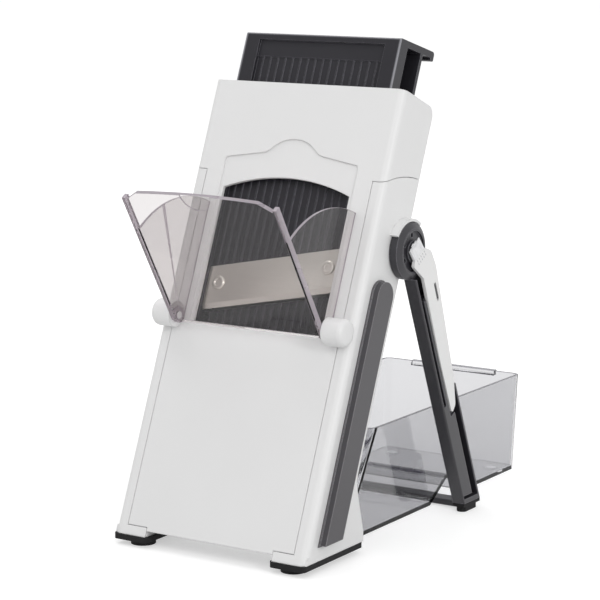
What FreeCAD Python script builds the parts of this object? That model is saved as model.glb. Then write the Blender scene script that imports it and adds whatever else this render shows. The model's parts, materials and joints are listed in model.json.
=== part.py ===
import FreeCAD, Part
import math
import os

# Standing plunge slicer: a leaning housing column, a sprung plunger that carries a slanting blade,
# a hinged clear food chute, folding rear legs, a clear catch bin and a cleaning brush.
# World frame, in millimetres: X to the right, Y to the back, Z up from the table.
# Column frame: X as before, Y = depth back from the front face, Z = height along the leaning column.

# Housing column
LEAN = 22.46
BASE_HEIGHT = 6.5
HOUSING_WIDTH = 130.0
HOUSING_DEPTH = 36.0
HOUSING_LENGTH = 273.5
HOUSING_WALL = 3.0
FRONT_EDGE_RADIUS = 4.5
TOP_REAR_RADIUS = 6.0
SIDE_FRAME_WIDTH = 8.5
SEAM_GAP = 0.3
HOOD_SEAM_FRONT = 218.7
HOOD_SEAM_RISE = 12.3
SEAM_BULGE = 2.4

# Feet of the column
FOOT_WIDTH = 22.0
FOOT_REACH = 22.6
FOOT_UPRIGHT = 5.5
FOOT_FLOOR = 4.0
FLARE_HEIGHT = 36.0
FLARE_RADIUS = 20.0
SKIRT_RISE = 3.4
PANEL_LIFT = 6.0
PAD_HEIGHT = 3.3
PAD_NOSE = 0.8
PAD_CORNER_RADIUS = 2.5
BASE_FOOT_RADIUS = 7.3
BASE_FOOT_FRONT = 10.0
BASE_FOOT_INSET = 16.6
BASE_FOOT_SIDES = 24
BASE_FOOT_SHIFT = 2.5
PAD_OVERLAP = 1.2

# Opening in the front cover and the shallow contour round it
OPENING_HALF = 43.0
OPENING_LOW = 128.7
OPENING_SIDE = 80.3
OPENING_ARCH = 8.0
CONTOUR_MARGIN = 2.3
CONTOUR_DEPTH = 0.9
CONTOUR_SHOULDER = 18.0
CONTOUR_SLOPE = 4.5
CONTOUR_BUMP_HALF = 17.4
CONTOUR_BUMP = 8.5
CONTOUR_CORNER_RADIUS = 2.0
CONTOUR_BASE_RADIUS = 10.0
CONTOUR_TOP_RADIUS = 20.0

# Slice exit at the back
EXIT_HALF = 46.0
EXIT_LOW = 40.0
EXIT_HIGH = 138.0
RAMP_THICKNESS = 2.5
RAMP_DROP = 22.0
RAMP_GAP = 1.0

# Plunger rails, board and handle
RAIL_WIDTH = 10.0
RAIL_DEPTH = 9.0
RAIL_FRONT = 4.5
RAIL_BOTTOM = 70.0
TONGUE_REACH = 4.0
TONGUE_THICKNESS = 3.0
TONGUE_TOP = 215.0
GUIDE_CLEARANCE = 0.4
GUIDE_RIB = 2.5
GUIDE_LOW = 40.0
FIELD_DEPTH = 2.5
FIELD_THICKNESS = 2.5
BAND_HEIGHT = 13.9
BAND_STEP = 0.8
RIB_COUNT = 16
RIB_MARGIN = 4.0
RIB_HEIGHT = 0.6
RIB_WIDTH = 0.9
HANDLE_TOP = 305.0
HANDLE_RISE = 5.0
HANDLE_PLATE = 4.0
HANDLE_OVERHANG = 8.0
HANDLE_LIP_DROP = 6.0
HANDLE_LIP_WALL = 3.5
HANDLE_LIP_RADIUS = 2.0
HANDLE_REAR_GAP = 1.5
HANDLE_REAR_WALL = 2.5
HANDLE_REAR_LOW = 205.0
MOUTH_CLEARANCE = 0.7

# Blade and thickness plate
BLADE_LEFT_EDGE = 137.0
BLADE_SLANT = 11.7
BLADE_HEIGHT = 25.0
BLADE_THICKNESS = 1.0
BLADE_BEVEL = 3.0
BLADE_END_CLEARANCE = 0.2
THROAT = 9.0
SLICE_THICKNESS = 3.0
PLATE_THICKNESS = 2.5
PLATE_EDGE_GAP = 0.6
RIVET_INSET = 8.0
RIVET_RISE = 15.0
RIVET_HEAD_RADIUS = 4.2
RIVET_SIDES = 28
RIVET_HEAD_HEIGHT = 0.9
RIVET_RADIUS = 2.0
RIVET_CLEARANCE = 0.05

# Return springs on their rods
SPRING_OFFSET = 8.5
SPRING_MEAN_RADIUS = 2.9
SPRING_WIRE = 0.9
SPRING_TURNS = 8
SPRING_SIDES = 6
SPRING_END_GAP = 0.05
ROD_RADIUS = 2.0
ROD_CLEARANCE = 0.08
ROD_SEAT_CLEARANCE = 0.05
ROD_SEAT_TOP = 28.0
ROD_SEAT_HEIGHT = 4.0
ROD_BRACKET_TOP = 206.0
ROD_BRACKET_REACH = 5.0
SPRING_TAB_LOW = 96.0
SPRING_TAB_HEIGHT = 4.0

# Housing screws
SCREW_HEAD_RADIUS = 2.8
SCREW_HEAD_HEIGHT = 1.8
SCREW_RADIUS = 1.4
SCREW_CLEARANCE = 0.05
SCREW_POST_RADIUS = 3.6
SCREW_SIDES = 12
LOW_SCREW_X = 36.0
LOW_SCREW_HEIGHT = 25.0
LOW_SCREW_LENGTH = 14.0
TAB_SCREW_HEIGHT = 222.0
TAB_HALF_HEIGHT = 7.0
TAB_WIDTH = 6.0
TAB_THICKNESS = 4.0

# Chute
HINGE_DEPTH = -5.5
HINGE_HEIGHT = 130.0
HINGE_CAP_RADIUS = 8.0
HINGE_CAP_DOME = 3.0
HINGE_CAP_STEPS = 3
HINGE_CAP_SIDES = 30
HINGE_CAP_GAP = 0.35
HINGE_PIN_RADIUS = 2.2
HINGE_PIN_CLEARANCE = 0.06
CHUTE_TILT = 53.7
CHUTE_WALL_X = 50.0
CHUTE_WALL = 2.5
CHUTE_EAR_RADIUS = 5.2
CHUTE_PANEL_DROP = 6.0
CHUTE_PANEL_LENGTH = 93.0
CHUTE_CROWN = 1.4
CHUTE_CORNER_X = 11.0
CHUTE_CORNER_S = 7.0
CHUTE_FLANGE = 3.8
CHUTE_STEP = 0.8
CHUTE_FLANGE_TOP = 89.0
CHUTE_NOTCH_S = 65.8
CHUTE_BACK_GAP = 0.4
CHUTE_BACK_TOP = 199.7
CHUTE_ARC_DEPTH = -34.0
CHUTE_ARC_HEIGHT = 191.6
THUMB_RADIUS = 10.0
THUMB_DEPTH = 0.6

# Side strips
STRIP_FRONT = 10.0
STRIP_WIDTH = 16.5
STRIP_TOP = 165.8
STRIP_BOTTOM = 8.8
STRIP_THICKNESS = 4.6
STRIP_LIP = 0.8
STRIP_LIP_THICKNESS = 1.0

# Leg pivots
HUB_INSET = 1.4
HUB_HEIGHT = 188.5
HUB_RADIUS = 16.5
HUB_BARREL = 4.6
HUB_BEVEL = 2.0
HUB_BEVEL_RADIUS = 13.0
HUB_FACE_RADIUS = 11.8
HUB_FACE_DEPTH = 1.4
HUB_POCKET = 2.4
HUB_POCKET_DEPTH = 1.4
HUB_POCKET_COUNT = 6
HUB_POCKET_CIRCLE = 9.2
PIVOT_RADIUS = 4.0
PIVOT_CLEARANCE = 0.06
PIVOT_SEAT_CLEARANCE = 0.05
PIVOT_HEAD_RADIUS = 6.5
PIVOT_HEAD_HEIGHT = 1.2
PIVOT_HEAD_GAP = 0.1
PIVOT_HEAD_SIDES = 16
EAR_DEPTH = 7.0
EAR_RADIUS = 14.0
SHROUD_THICKNESS = 1.7
SHROUD_GAP = 0.4
SHROUD_START = 52.0
SHROUD_END = 145.0

# Legs, crossbar and their feet
LEG_SPLAY = 22.67
LEG_WIDTH = 18.2
LEG_OFFSET = 2.95
LEG_GAP = 0.4
LEG_THICKNESS = 7.8
LEG_FLOOR = 2.8
LEG_FLANGE = 1.2
LEG_RECESS_LENGTH = 32.0
LEG_FRONT_GROOVE = 2.6
LEG_FRONT_GROOVE_LENGTH = 104.0
LEG_REAR_GROOVE = 6.0
LEG_FOOT_GROOVE = 2.2
LEG_SHELF_DROP = 1.8
LEG_SHELF_MARGIN = 1.0
LEG_SHELF_REAR_END = 97.0
LEG_SHELF_SETBACK = 5.95
LEG_EDGE_RADIUS = 1.0
LEG_RIM = 2.8
LEG_BOTTOM = 5.5
LEG_FOOT_PLATE = 2.1
LEG_FOOT_INSET = 0.8
LEG_FOOT_BEVEL = 1.8
CROSSBAR_SETBACK = 9.0
CROSSBAR_WIDTH = 9.5
CROSSBAR_BOTTOM = 0.5
CROSSBAR_HEIGHT = 3.7
CROSSBAR_TAB = 3.6
CROSSBAR_TAB_TOP = 28.0
CROSSBAR_TAB_WIDTH = 9.0
TAB_SCREW_RADIUS = 1.5
TAB_SCREW_SINK = 2.0
TAB_SCREW_SPACING = 10.0
TAB_SCREW_HEAD_RADIUS = 2.6
TAB_SCREW_HEAD_HEIGHT = 1.2

# Brush on the right leg
BRUSH_THICKNESS = 2.0
BRUSH_LENGTH = 112.0
BRUSH_WIDTH = 14.0
BRUSH_HUB_GAP = 0.45
BRUSH_SLOT_S = 33.0
BRUSH_SLOT_T = 10.9
BRUSH_SLOT_LENGTH = 12.0
BRUSH_SLOT_WIDTH = 2.4
BRUSH_PEG_CLEARANCE = 0.3
BRUSH_PEG_DROP = 0.5
BRISTLE_INSET = 0.04
BRISTLE_THICKNESS = 1.6

# Bin
BIN_FLOOR_Z = 1.0
BIN_TOP_Z = 62.7
BIN_DOCK_GAP = 0.8
BIN_FRONT_SLANT = 34.1
BIN_REAR_LOW = 276.8
BIN_REAR_TOP = 281.0
BIN_HALF_LOW = 49.2
BIN_HALF_TOP = 50.3
BIN_WALL = 2.0
BIN_FLOOR = 2.2
BIN_CORNER_RADIUS = 5.0
BIN_CORNER_STEPS = 5
BIN_FRONT_WALL = 13.0
TUNNEL_LEAD = 8.0
TUNNEL_HALF = 21.5
TUNNEL_HEIGHT = 14.1
TUNNEL_RIDGE_RADIUS = 6.0
BIN_LIP_HALF = 31.0
BIN_LIP_REACH = 4.0
BIN_LIP_HEIGHT = 3.4
BIN_NUB_RADIUS = 4.0
BIN_NUB_INSET = 12.0

# Sizes that follow from the ones above
HALF = HOUSING_WIDTH / 2
INNER_HALF = HALF - HOUSING_WALL
PANEL_HALF = HALF - SIDE_FRAME_WIDTH
FOOT_INNER = HALF - FOOT_WIDTH
RAIL_INNER = OPENING_HALF
RAIL_OUTER = RAIL_INNER + RAIL_WIDTH
RIB_PITCH = 2 * (RAIL_INNER - RIB_MARGIN) / (RIB_COUNT - 1)
RAIL_BACK = RAIL_FRONT + RAIL_DEPTH
FIELD_FRONT = RAIL_FRONT + FIELD_DEPTH
FIELD_BACK = FIELD_FRONT + FIELD_THICKNESS
BLADE_FRONT = FIELD_FRONT - BLADE_THICKNESS
PLATE_FRONT = FIELD_FRONT + SLICE_THICKNESS
TONGUE_FRONT = RAIL_FRONT + (RAIL_DEPTH - TONGUE_THICKNESS) / 2 - 0.5
ROD_X = RAIL_INNER + RAIL_WIDTH / 2
SPRING_DEPTH = RAIL_BACK + SPRING_OFFSET
SLOPE = math.tan(math.radians(BLADE_SLANT))
LEG_IN = HALF + LEG_GAP
LEG_OUT = LEG_IN + LEG_THICKNESS
LEG_SHELF = LEG_OUT - LEG_SHELF_DROP
LEG_FRONT_T = LEG_OFFSET - LEG_WIDTH / 2
LEG_BACK_T = LEG_OFFSET + LEG_WIDTH / 2
PAD_BOTTOM = BASE_HEIGHT - PAD_HEIGHT
HANDLE_REAR_BACK = HOUSING_DEPTH - HOUSING_WALL - HANDLE_REAR_GAP
HANDLE_REAR_DEPTH = HANDLE_REAR_BACK - HANDLE_REAR_WALL
HANDLE_LIP_DEPTH = HOUSING_DEPTH + HANDLE_OVERHANG
LEAN_SIN = math.sin(math.radians(LEAN))
LEAN_COS = math.cos(math.radians(LEAN))
SPLAY_SIN = math.sin(math.radians(LEG_SPLAY))
SPLAY_COS = math.cos(math.radians(LEG_SPLAY))
FOOT_REAR = HOUSING_DEPTH / LEAN_COS + FOOT_REACH
HUB_DEPTH = HOUSING_DEPTH - HUB_INSET
HUB_Y = HUB_DEPTH * LEAN_COS + HUB_HEIGHT * LEAN_SIN
HUB_Z = BASE_HEIGHT - HUB_DEPTH * LEAN_SIN + HUB_HEIGHT * LEAN_COS
HUB_OUT = LEG_IN + HUB_BARREL + HUB_BEVEL
HUB_FACE = HUB_OUT - HUB_FACE_DEPTH
BRUSH_IN = HUB_OUT + BRUSH_HUB_GAP
LEG_TOE = HUB_Y + (HUB_Z - LEG_BOTTOM) * SPLAY_SIN / SPLAY_COS + LEG_FRONT_T / SPLAY_COS
CROSSBAR_FRONT = LEG_TOE + CROSSBAR_SETBACK
BIN_FRONT_LOW = FOOT_REAR + BIN_DOCK_GAP
BIN_FRONT_TOP = BIN_FRONT_LOW + BIN_FRONT_SLANT
TUNNEL_FRONT = CROSSBAR_FRONT - TUNNEL_LEAD
TUNNEL_RIDGE = TUNNEL_FRONT + TUNNEL_HALF
TUNNEL_REAR = TUNNEL_RIDGE + TUNNEL_HALF
BASE_FOOT_BACK = FOOT_REAR - BASE_FOOT_INSET
FAR = 1000.0


def vec(x, y, z):
    return FreeCAD.Vector(x, y, z)


def block(x0, x1, y0, y1, z0, z1):
    """Box between two corners."""
    return Part.makeBox(x1 - x0, y1 - y0, z1 - z0, vec(x0, y0, z0))


def rod_x(radius, x0, x1, y, z):
    """Round rod along X."""
    return Part.makeCylinder(radius, x1 - x0, vec(x0, y, z), vec(1, 0, 0))


def rod_y(radius, y0, y1, x, z):
    """Round rod along Y."""
    return Part.makeCylinder(radius, y1 - y0, vec(x, y0, z), vec(0, 1, 0))


def rod_z(radius, z0, z1, x, y):
    """Round rod along Z."""
    return Part.makeCylinder(radius, z1 - z0, vec(x, y, z0))


def ring_points(sides, radius, centre, axis):
    """Corners of a many-sided ring that fits inside a round one of the same radius."""
    across = axis.cross(vec(0, 0, 1))
    if across.Length < 0.5:
        across = vec(1, 0, 0)
    across.normalize()
    other = axis.cross(across)
    points = []
    for i in range(sides):
        turn = 2 * math.pi * i / sides
        points.append(centre + across * (radius * math.cos(turn)) + other * (radius * math.sin(turn)))
    return points


def flat_face(points):
    """Flat face with these corners."""
    return Part.Face(Part.makePolygon(points + points[:1]))


def stacked(rings):
    """Solid with flat sides through a stack of rings that have the same number of corners."""
    faces = [flat_face(rings[0]), flat_face(rings[-1])]
    for low, high in zip(rings, rings[1:]):
        for i in range(len(low)):
            faces.append(flat_face([low[i - 1], low[i], high[i], high[i - 1]]))
    solid = Part.Solid(Part.Shell(faces))
    if solid.Volume < 0:
        solid.reverse()
    return solid


def faceted_rod(sides, radius, base, sweep):
    """Straight rod with flat sides."""
    axis = FreeCAD.Vector(sweep).normalize()
    return flat_face(ring_points(sides, radius, base, axis)).extrude(sweep)


def screw_rod(radius, y0, y1, x, z):
    """Many-sided rod along Y, for screws and their holes."""
    return faceted_rod(SCREW_SIDES, radius, vec(x, y0, z), vec(0, y1 - y0, 0))


def rounded_wire(points, radii):
    """Closed wire through the points, each corner rounded by its own radius (0 stays sharp)."""
    count = len(points)
    arrive = []
    leave = []
    edges = []
    for i in range(count):
        here = points[i]
        back = (points[i - 1] - here).normalize()
        ahead = (points[(i + 1) % count] - here).normalize()
        half_angle = back.getAngle(ahead) / 2
        reach = radii[i] / math.tan(half_angle)
        arrive.append(here + back * reach)
        leave.append(here + ahead * reach)
        if radii[i] > 0:
            bisector = (back + ahead).normalize()
            middle = here + bisector * (radii[i] / math.sin(half_angle) - radii[i])
            edges.append(Part.Arc(arrive[i], middle, leave[i]).toShape())
    for i in range(count):
        start = leave[i]
        end = arrive[(i + 1) % count]
        if (end - start).Length > 1e-6:
            edges.append(Part.makeLine(start, end))
    return Part.Wire(Part.__sortEdges__(edges))


def prism(points, sweep, radii=None):
    """Solid swept straight from a flat outline."""
    wire = rounded_wire(points, radii or [0] * len(points))
    return Part.Face(wire).extrude(sweep)


def side_prism(outline, x0, x1, radii=None):
    """Solid swept along X from an outline of (y, z) pairs."""
    return prism([vec(x0, y, z) for y, z in outline], vec(x1 - x0, 0, 0), radii)


def join(shapes):
    """One solid from pieces that touch or overlap."""
    return shapes[0].multiFuse(shapes[1:]).removeSplitter()


def mirrored(shape):
    """The same piece on the other side of the middle plane."""
    return shape.mirror(vec(0, 0, 0), vec(1, 0, 0))


def both(shape):
    """A right-hand feature and its left-hand copy."""
    return [shape, mirrored(shape)]


def pick_edges(shape, test):
    """Edges whose middle passes the test."""
    return [edge for edge in shape.Edges if test(edge.CenterOfMass)]


def stand_up(shape):
    """Lean a shape from the column frame back into the world frame."""
    leaned = shape.copy()
    leaned.rotate(vec(0, 0, 0), vec(1, 0, 0), -LEAN)
    leaned.translate(vec(0, 0, BASE_HEIGHT))
    return leaned


def rear_edge_y(height):
    """Y of the column's back face at a height above the base."""
    return (HOUSING_DEPTH + height * LEAN_SIN) / LEAN_COS


def blade_edge(x):
    """Height of the slanting cutting edge at a place across the plunger."""
    return BLADE_LEFT_EDGE + (x + OPENING_HALF) * SLOPE


def rib_places():
    """X of each rib on the plunger's ribbed faces."""
    first = -(RIB_COUNT - 1) * RIB_PITCH / 2
    return [first + i * RIB_PITCH for i in range(RIB_COUNT)]


def column_shell():
    """The whole hollow column, in the column frame, before it is parted into covers."""
    below = -HOUSING_DEPTH
    outline = [(0, below), (HOUSING_DEPTH, below), (HOUSING_DEPTH, HOUSING_LENGTH), (0, HOUSING_LENGTH)]
    outer = side_prism(outline, -HALF, HALF, [0, 0, TOP_REAR_RADIUS, 0])
    front_edges = pick_edges(outer, lambda p: abs(p.y) < 0.01 and abs(abs(p.x) - HALF) < 0.01)
    outer = outer.makeFillet(FRONT_EDGE_RADIUS, front_edges)
    back = HOUSING_DEPTH - HOUSING_WALL
    roof = HOUSING_LENGTH - HOUSING_WALL
    hollow = block(-INNER_HALF, INNER_HALF, HOUSING_WALL, back, below, roof)
    mouth_half = RAIL_OUTER + MOUTH_CLEARANCE
    mouth_front = RAIL_FRONT - MOUTH_CLEARANCE
    mouth_back = HANDLE_REAR_BACK + MOUTH_CLEARANCE
    mouth = block(-mouth_half, mouth_half, mouth_front, mouth_back, roof - 1, HOUSING_LENGTH + 1)
    return outer.cut(hollow).cut(mouth)


def hood_space(drop):
    """Everything above the curved side seam, lowered by a gap."""
    front = HOOD_SEAM_FRONT - drop
    rear = front + HOOD_SEAM_RISE
    high = HOUSING_LENGTH + 10
    middle = vec(-FAR, HOUSING_DEPTH / 2, (front + rear) / 2 + SEAM_BULGE)
    corners = [vec(-FAR, HOUSING_DEPTH, rear), vec(-FAR, FAR, rear), vec(-FAR, FAR, high)]
    corners += [vec(-FAR, -FAR, high), vec(-FAR, -FAR, front), vec(-FAR, 0, front)]
    edges = [Part.makeLine(a, b) for a, b in zip(corners, corners[1:])]
    edges.append(Part.Arc(corners[-1], middle, corners[0]).toShape())
    return Part.Face(Part.Wire(edges)).extrude(vec(2 * FAR, 0, 0))


def panel_space(gap):
    """The flat front panel between the side frames, grown by a gap."""
    half = PANEL_HALF + gap
    inner = FOOT_INNER + gap
    high = HOOD_SEAM_FRONT + 1
    low = PANEL_LIFT - gap
    over_feet = block(-half, half, -1, HOUSING_WALL, low, high)
    between_feet = block(-inner, inner, -1, HOUSING_WALL, -HOUSING_DEPTH, high)
    return join([over_feet, between_feet])


def trim_base(shape):
    """Cut a leaned piece flat at the base, higher between the feet."""
    floor = block(-FAR, FAR, -FAR, FAR, -FAR, BASE_HEIGHT)
    skirt = block(-FOOT_INNER, FOOT_INNER, -FAR, FAR, -FAR, BASE_HEIGHT + SKIRT_RISE)
    return shape.cut(floor).cut(skirt)


def opening_cutter():
    """Arched food opening, swept through the front cover."""
    side_top = OPENING_LOW + OPENING_SIDE
    left = vec(-OPENING_HALF, -1, side_top)
    right = vec(OPENING_HALF, -1, side_top)
    peak = vec(0, -1, side_top + OPENING_ARCH)
    low_left = vec(-OPENING_HALF, -1, OPENING_LOW)
    low_right = vec(OPENING_HALF, -1, OPENING_LOW)
    edges = [Part.Arc(left, peak, right).toShape(), Part.makeLine(right, low_right)]
    edges += [Part.makeLine(low_right, low_left), Part.makeLine(low_left, left)]
    return Part.Face(Part.Wire(edges)).extrude(vec(0, HOUSING_WALL + 2, 0))


def contour_cutter():
    """Shallow contour round the opening, with sloping shoulders and a bump in the middle."""
    half = OPENING_HALF + CONTOUR_MARGIN
    shoulder = OPENING_LOW + OPENING_SIDE + CONTOUR_SHOULDER
    slope_top = shoulder + CONTOUR_SLOPE
    bump_top = slope_top + CONTOUR_BUMP
    bump_half = CONTOUR_BUMP_HALF / 2
    right = [(half, OPENING_LOW), (half, shoulder), (CONTOUR_BUMP_HALF, slope_top), (bump_half, bump_top)]
    left = [(-x, z) for x, z in reversed(right)]
    radii = [0, CONTOUR_CORNER_RADIUS, CONTOUR_BASE_RADIUS, CONTOUR_TOP_RADIUS]
    points = [vec(x, -1, z) for x, z in right + left]
    return prism(points, vec(0, 1 + CONTOUR_DEPTH, 0), radii + radii[::-1])


def low_screw_line():
    """Places of the screws through the lower back wall."""
    return [(x, LOW_SCREW_HEIGHT) for x in (-LOW_SCREW_X, LOW_SCREW_X)]


def tab_screw_line():
    """Places of the screws through the upper back wall into the hood's tabs."""
    middle = INNER_HALF - TAB_WIDTH / 2 - 1
    return [(x, TAB_SCREW_HEIGHT) for x in (-middle, middle)]


def screw_hole(place, length):
    """Clearance for one screw, head and shank, from the back wall forwards."""
    x, height = place
    head_front = HOUSING_DEPTH - SCREW_HEAD_HEIGHT
    head = screw_rod(SCREW_HEAD_RADIUS + SCREW_CLEARANCE, head_front, 2 * HOUSING_DEPTH, x, height)
    shank = screw_rod(SCREW_RADIUS + SCREW_CLEARANCE, HOUSING_DEPTH - length, HOUSING_DEPTH, x, height)
    return head.fuse(shank)


def screw(place, length):
    """One pan-head screw, driven from the back."""
    x, height = place
    head_front = HOUSING_DEPTH - SCREW_HEAD_HEIGHT
    head = screw_rod(SCREW_HEAD_RADIUS, head_front, HOUSING_DEPTH - SEAM_GAP, x, height)
    shank = screw_rod(SCREW_RADIUS, HOUSING_DEPTH - length, head_front, x, height)
    return join([head, shank])


def tab_screw_length():
    return HOUSING_WALL + TAB_THICKNESS


def screw_cutters():
    """Holes of all the housing screws."""
    cutters = [screw_hole(place, LOW_SCREW_LENGTH) for place in low_screw_line()]
    cutters += [screw_hole(place, tab_screw_length()) for place in tab_screw_line()]
    return cutters


def front_cover():
    """Front panel and hood in one moulding, with posts and tabs for its screws."""
    back = HOUSING_DEPTH - HOUSING_WALL
    spaces = join([hood_space(0), panel_space(0)])
    cover = column_shell().common(spaces)
    pieces = [cover.cut(opening_cutter()).cut(contour_cutter())]
    for x, height in low_screw_line():
        pieces.append(rod_y(SCREW_POST_RADIUS, HOUSING_WALL - 0.5, back, x, height))
    tab_low = TAB_SCREW_HEIGHT - TAB_HALF_HEIGHT
    tab_high = HOOD_SEAM_FRONT + HOOD_SEAM_RISE + TAB_HALF_HEIGHT
    tab_out = INNER_HALF - SEAM_GAP
    tab = block(tab_out - TAB_WIDTH, tab_out, back - TAB_THICKNESS, back, tab_low, tab_high)
    pieces += both(tab)
    cover = join(pieces)
    for cutter in screw_cutters():
        cover = cover.cut(cutter)
    return trim_base(stand_up(cover))


def guide_ribs():
    """Ribs inside the right wall that the plunger's tongue runs between."""
    inner = RAIL_OUTER + GUIDE_CLEARANCE
    high = HOOD_SEAM_FRONT - 2 * SEAM_GAP
    front_back = TONGUE_FRONT - GUIDE_CLEARANCE
    rear_front = TONGUE_FRONT + TONGUE_THICKNESS + GUIDE_CLEARANCE
    front_rib = block(inner, INNER_HALF + 1, HOUSING_WALL, front_back, GUIDE_LOW, high)
    rear_rib = block(inner, INNER_HALF + 1, rear_front, rear_front + GUIDE_RIB, GUIDE_LOW, high)
    return [front_rib, rear_rib]


def rod_brackets():
    """Lower seat and upper bracket of the right spring rod, moulded on the wall."""
    inner = ROD_X - ROD_BRACKET_REACH + 0.5
    front = SPRING_DEPTH - ROD_BRACKET_REACH
    back = SPRING_DEPTH + ROD_BRACKET_REACH
    seat = block(inner, INNER_HALF + 1, front, back, ROD_SEAT_TOP - ROD_SEAT_HEIGHT, ROD_SEAT_TOP)
    bracket_high = ROD_BRACKET_TOP + ROD_SEAT_HEIGHT
    bracket = block(inner, INNER_HALF + 1, front, back, ROD_BRACKET_TOP, bracket_high)
    return [seat, bracket]


def exit_ramp():
    """Slide that leads the slices out at the back, below the exit."""
    front = RAIL_BACK + RAMP_GAP
    high = EXIT_LOW + RAMP_DROP
    lower = EXIT_LOW - RAMP_THICKNESS
    back = HOUSING_DEPTH - HOUSING_WALL / 2
    half = INNER_HALF
    outline = [(front, high), (front, high - RAMP_THICKNESS), (back, lower), (back, EXIT_LOW)]
    slide = side_prism(outline, -half, half)
    inner = ROD_X - ROD_BRACKET_REACH
    clear = block(inner, FAR, -FAR, FAR, -FAR, FAR)
    for side in both(clear):
        slide = slide.cut(side)
    return slide


def foot_flare():
    """Lower corner of the right wall, where its back edge turns out to the foot."""
    start = FLARE_HEIGHT + FLARE_RADIUS
    top = BASE_HEIGHT + start
    outline = [(rear_edge_y(start) - HOUSING_WALL, top), (rear_edge_y(start), top)]
    outline += [(rear_edge_y(FLARE_HEIGHT), BASE_HEIGHT + FLARE_HEIGHT)]
    outline += [(FOOT_REAR, BASE_HEIGHT + FOOT_UPRIGHT), (FOOT_REAR, BASE_HEIGHT)]
    outline += [(rear_edge_y(0) - 2 * HOUSING_WALL, BASE_HEIGHT)]
    radii = [0, 0, FLARE_RADIUS, 0, 0, 0]
    return side_prism(outline, INNER_HALF, HALF, radii)


def shroud():
    """Curved hood on the right wall over the top of the leg's hub."""
    inner = HUB_RADIUS + SHROUD_GAP
    outer = inner + SHROUD_THICKNESS
    reach = LEG_IN + HUB_BARREL
    centre = vec(INNER_HALF + 1, HUB_Y, HUB_Z)
    length = reach - INNER_HALF - 1
    span = SHROUD_END - SHROUD_START
    ring = Part.makeCylinder(outer, length, centre, vec(1, 0, 0), span)
    ring = ring.cut(rod_x(inner, HALF, reach + 1, HUB_Y, HUB_Z))
    ring.rotate(vec(0, HUB_Y, HUB_Z), vec(1, 0, 0), SHROUD_START - sector_start())
    return ring


def sector_start():
    """Angle, from +Y towards +Z about X, at which a part cylinder along X begins."""
    wedge = Part.makeCylinder(10, 1, vec(0, 0, 0), vec(1, 0, 0), 2)
    centre = wedge.CenterOfMass
    return math.degrees(math.atan2(centre.z, centre.y)) - 1


def rear_shell():
    """Side frames, back wall, feet and inner guides in one moulding."""
    shell = column_shell().cut(hood_space(SEAM_GAP)).cut(panel_space(SEAM_GAP))
    exit_window = block(-EXIT_HALF, EXIT_HALF, HOUSING_DEPTH / 2, FAR, EXIT_LOW, EXIT_HIGH)
    shell = shell.cut(exit_window)
    pieces = [shell, exit_ramp()]
    for feature in guide_ribs() + rod_brackets():
        pieces += both(feature)
    column = join(pieces)
    rod_low = ROD_SEAT_TOP - ROD_SEAT_HEIGHT / 2
    for x in (-ROD_X, ROD_X):
        column = column.cut(rod_z(ROD_RADIUS + ROD_SEAT_CLEARANCE, rod_low, FAR, x, SPRING_DEPTH))
    for cutter in screw_cutters():
        column = column.cut(cutter)
    column = trim_base(stand_up(column))
    ear = rod_x(EAR_RADIUS, HALF - EAR_DEPTH, HALF, HUB_Y, HUB_Z)
    floor_back = FOOT_REAR
    floor = block(FOOT_INNER, HALF, 0, floor_back, BASE_HEIGHT, BASE_HEIGHT + FOOT_FLOOR)
    floor = floor.common(stand_up(block(-FAR, FAR, HOUSING_WALL / 2, FAR, -FAR, FAR)))
    pieces = [column]
    for feature in (ear, shroud(), foot_flare(), floor):
        pieces += both(feature)
    shell = join(pieces)
    pivot_hole = rod_x(PIVOT_RADIUS + PIVOT_SEAT_CLEARANCE, HALF - EAR_DEPTH - 1, FAR, HUB_Y, HUB_Z)
    for cutter in both(pivot_hole):
        shell = shell.cut(cutter)
    return shell


def side_strip():
    """Raised trim strip on the right wall, round at the top and cut level at the bottom."""
    def form(grow, thickness):
        front = STRIP_FRONT - grow
        back = STRIP_FRONT + STRIP_WIDTH + grow
        high = STRIP_TOP + grow
        radius = (back - front) / 2
        outline = [(front, -HOUSING_DEPTH), (back, -HOUSING_DEPTH), (back, high), (front, high)]
        radii = [0, 0, radius * 0.99, radius * 0.99]
        body = stand_up(side_prism(outline, HALF, HALF + thickness, radii))
        bottom = BASE_HEIGHT + STRIP_BOTTOM - grow
        return body.cut(block(-FAR, FAR, -FAR, FAR, -FAR, bottom))
    return join([form(0, STRIP_THICKNESS), form(STRIP_LIP, STRIP_LIP_THICKNESS)])


def base_pad():
    """Dark pad under the right foot."""
    inner = FOOT_INNER - PAD_OVERLAP
    points = [(inner, -PAD_NOSE), (HALF, -PAD_NOSE), (HALF, FOOT_REAR), (inner, FOOT_REAR)]
    radii = [PAD_CORNER_RADIUS] * 4
    return prism([vec(x, y, PAD_BOTTOM) for x, y in points], vec(0, 0, PAD_HEIGHT), radii)


def base_feet():
    """Four round rubber feet under the pads."""
    x = FOOT_INNER + FOOT_WIDTH / 2 - BASE_FOOT_SHIFT
    feet = []
    for y in (BASE_FOOT_FRONT, BASE_FOOT_BACK):
        feet += both(faceted_rod(BASE_FOOT_SIDES, BASE_FOOT_RADIUS, vec(x, y, 0), vec(0, 0, PAD_BOTTOM)))
    return Part.makeCompound(feet)


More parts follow.
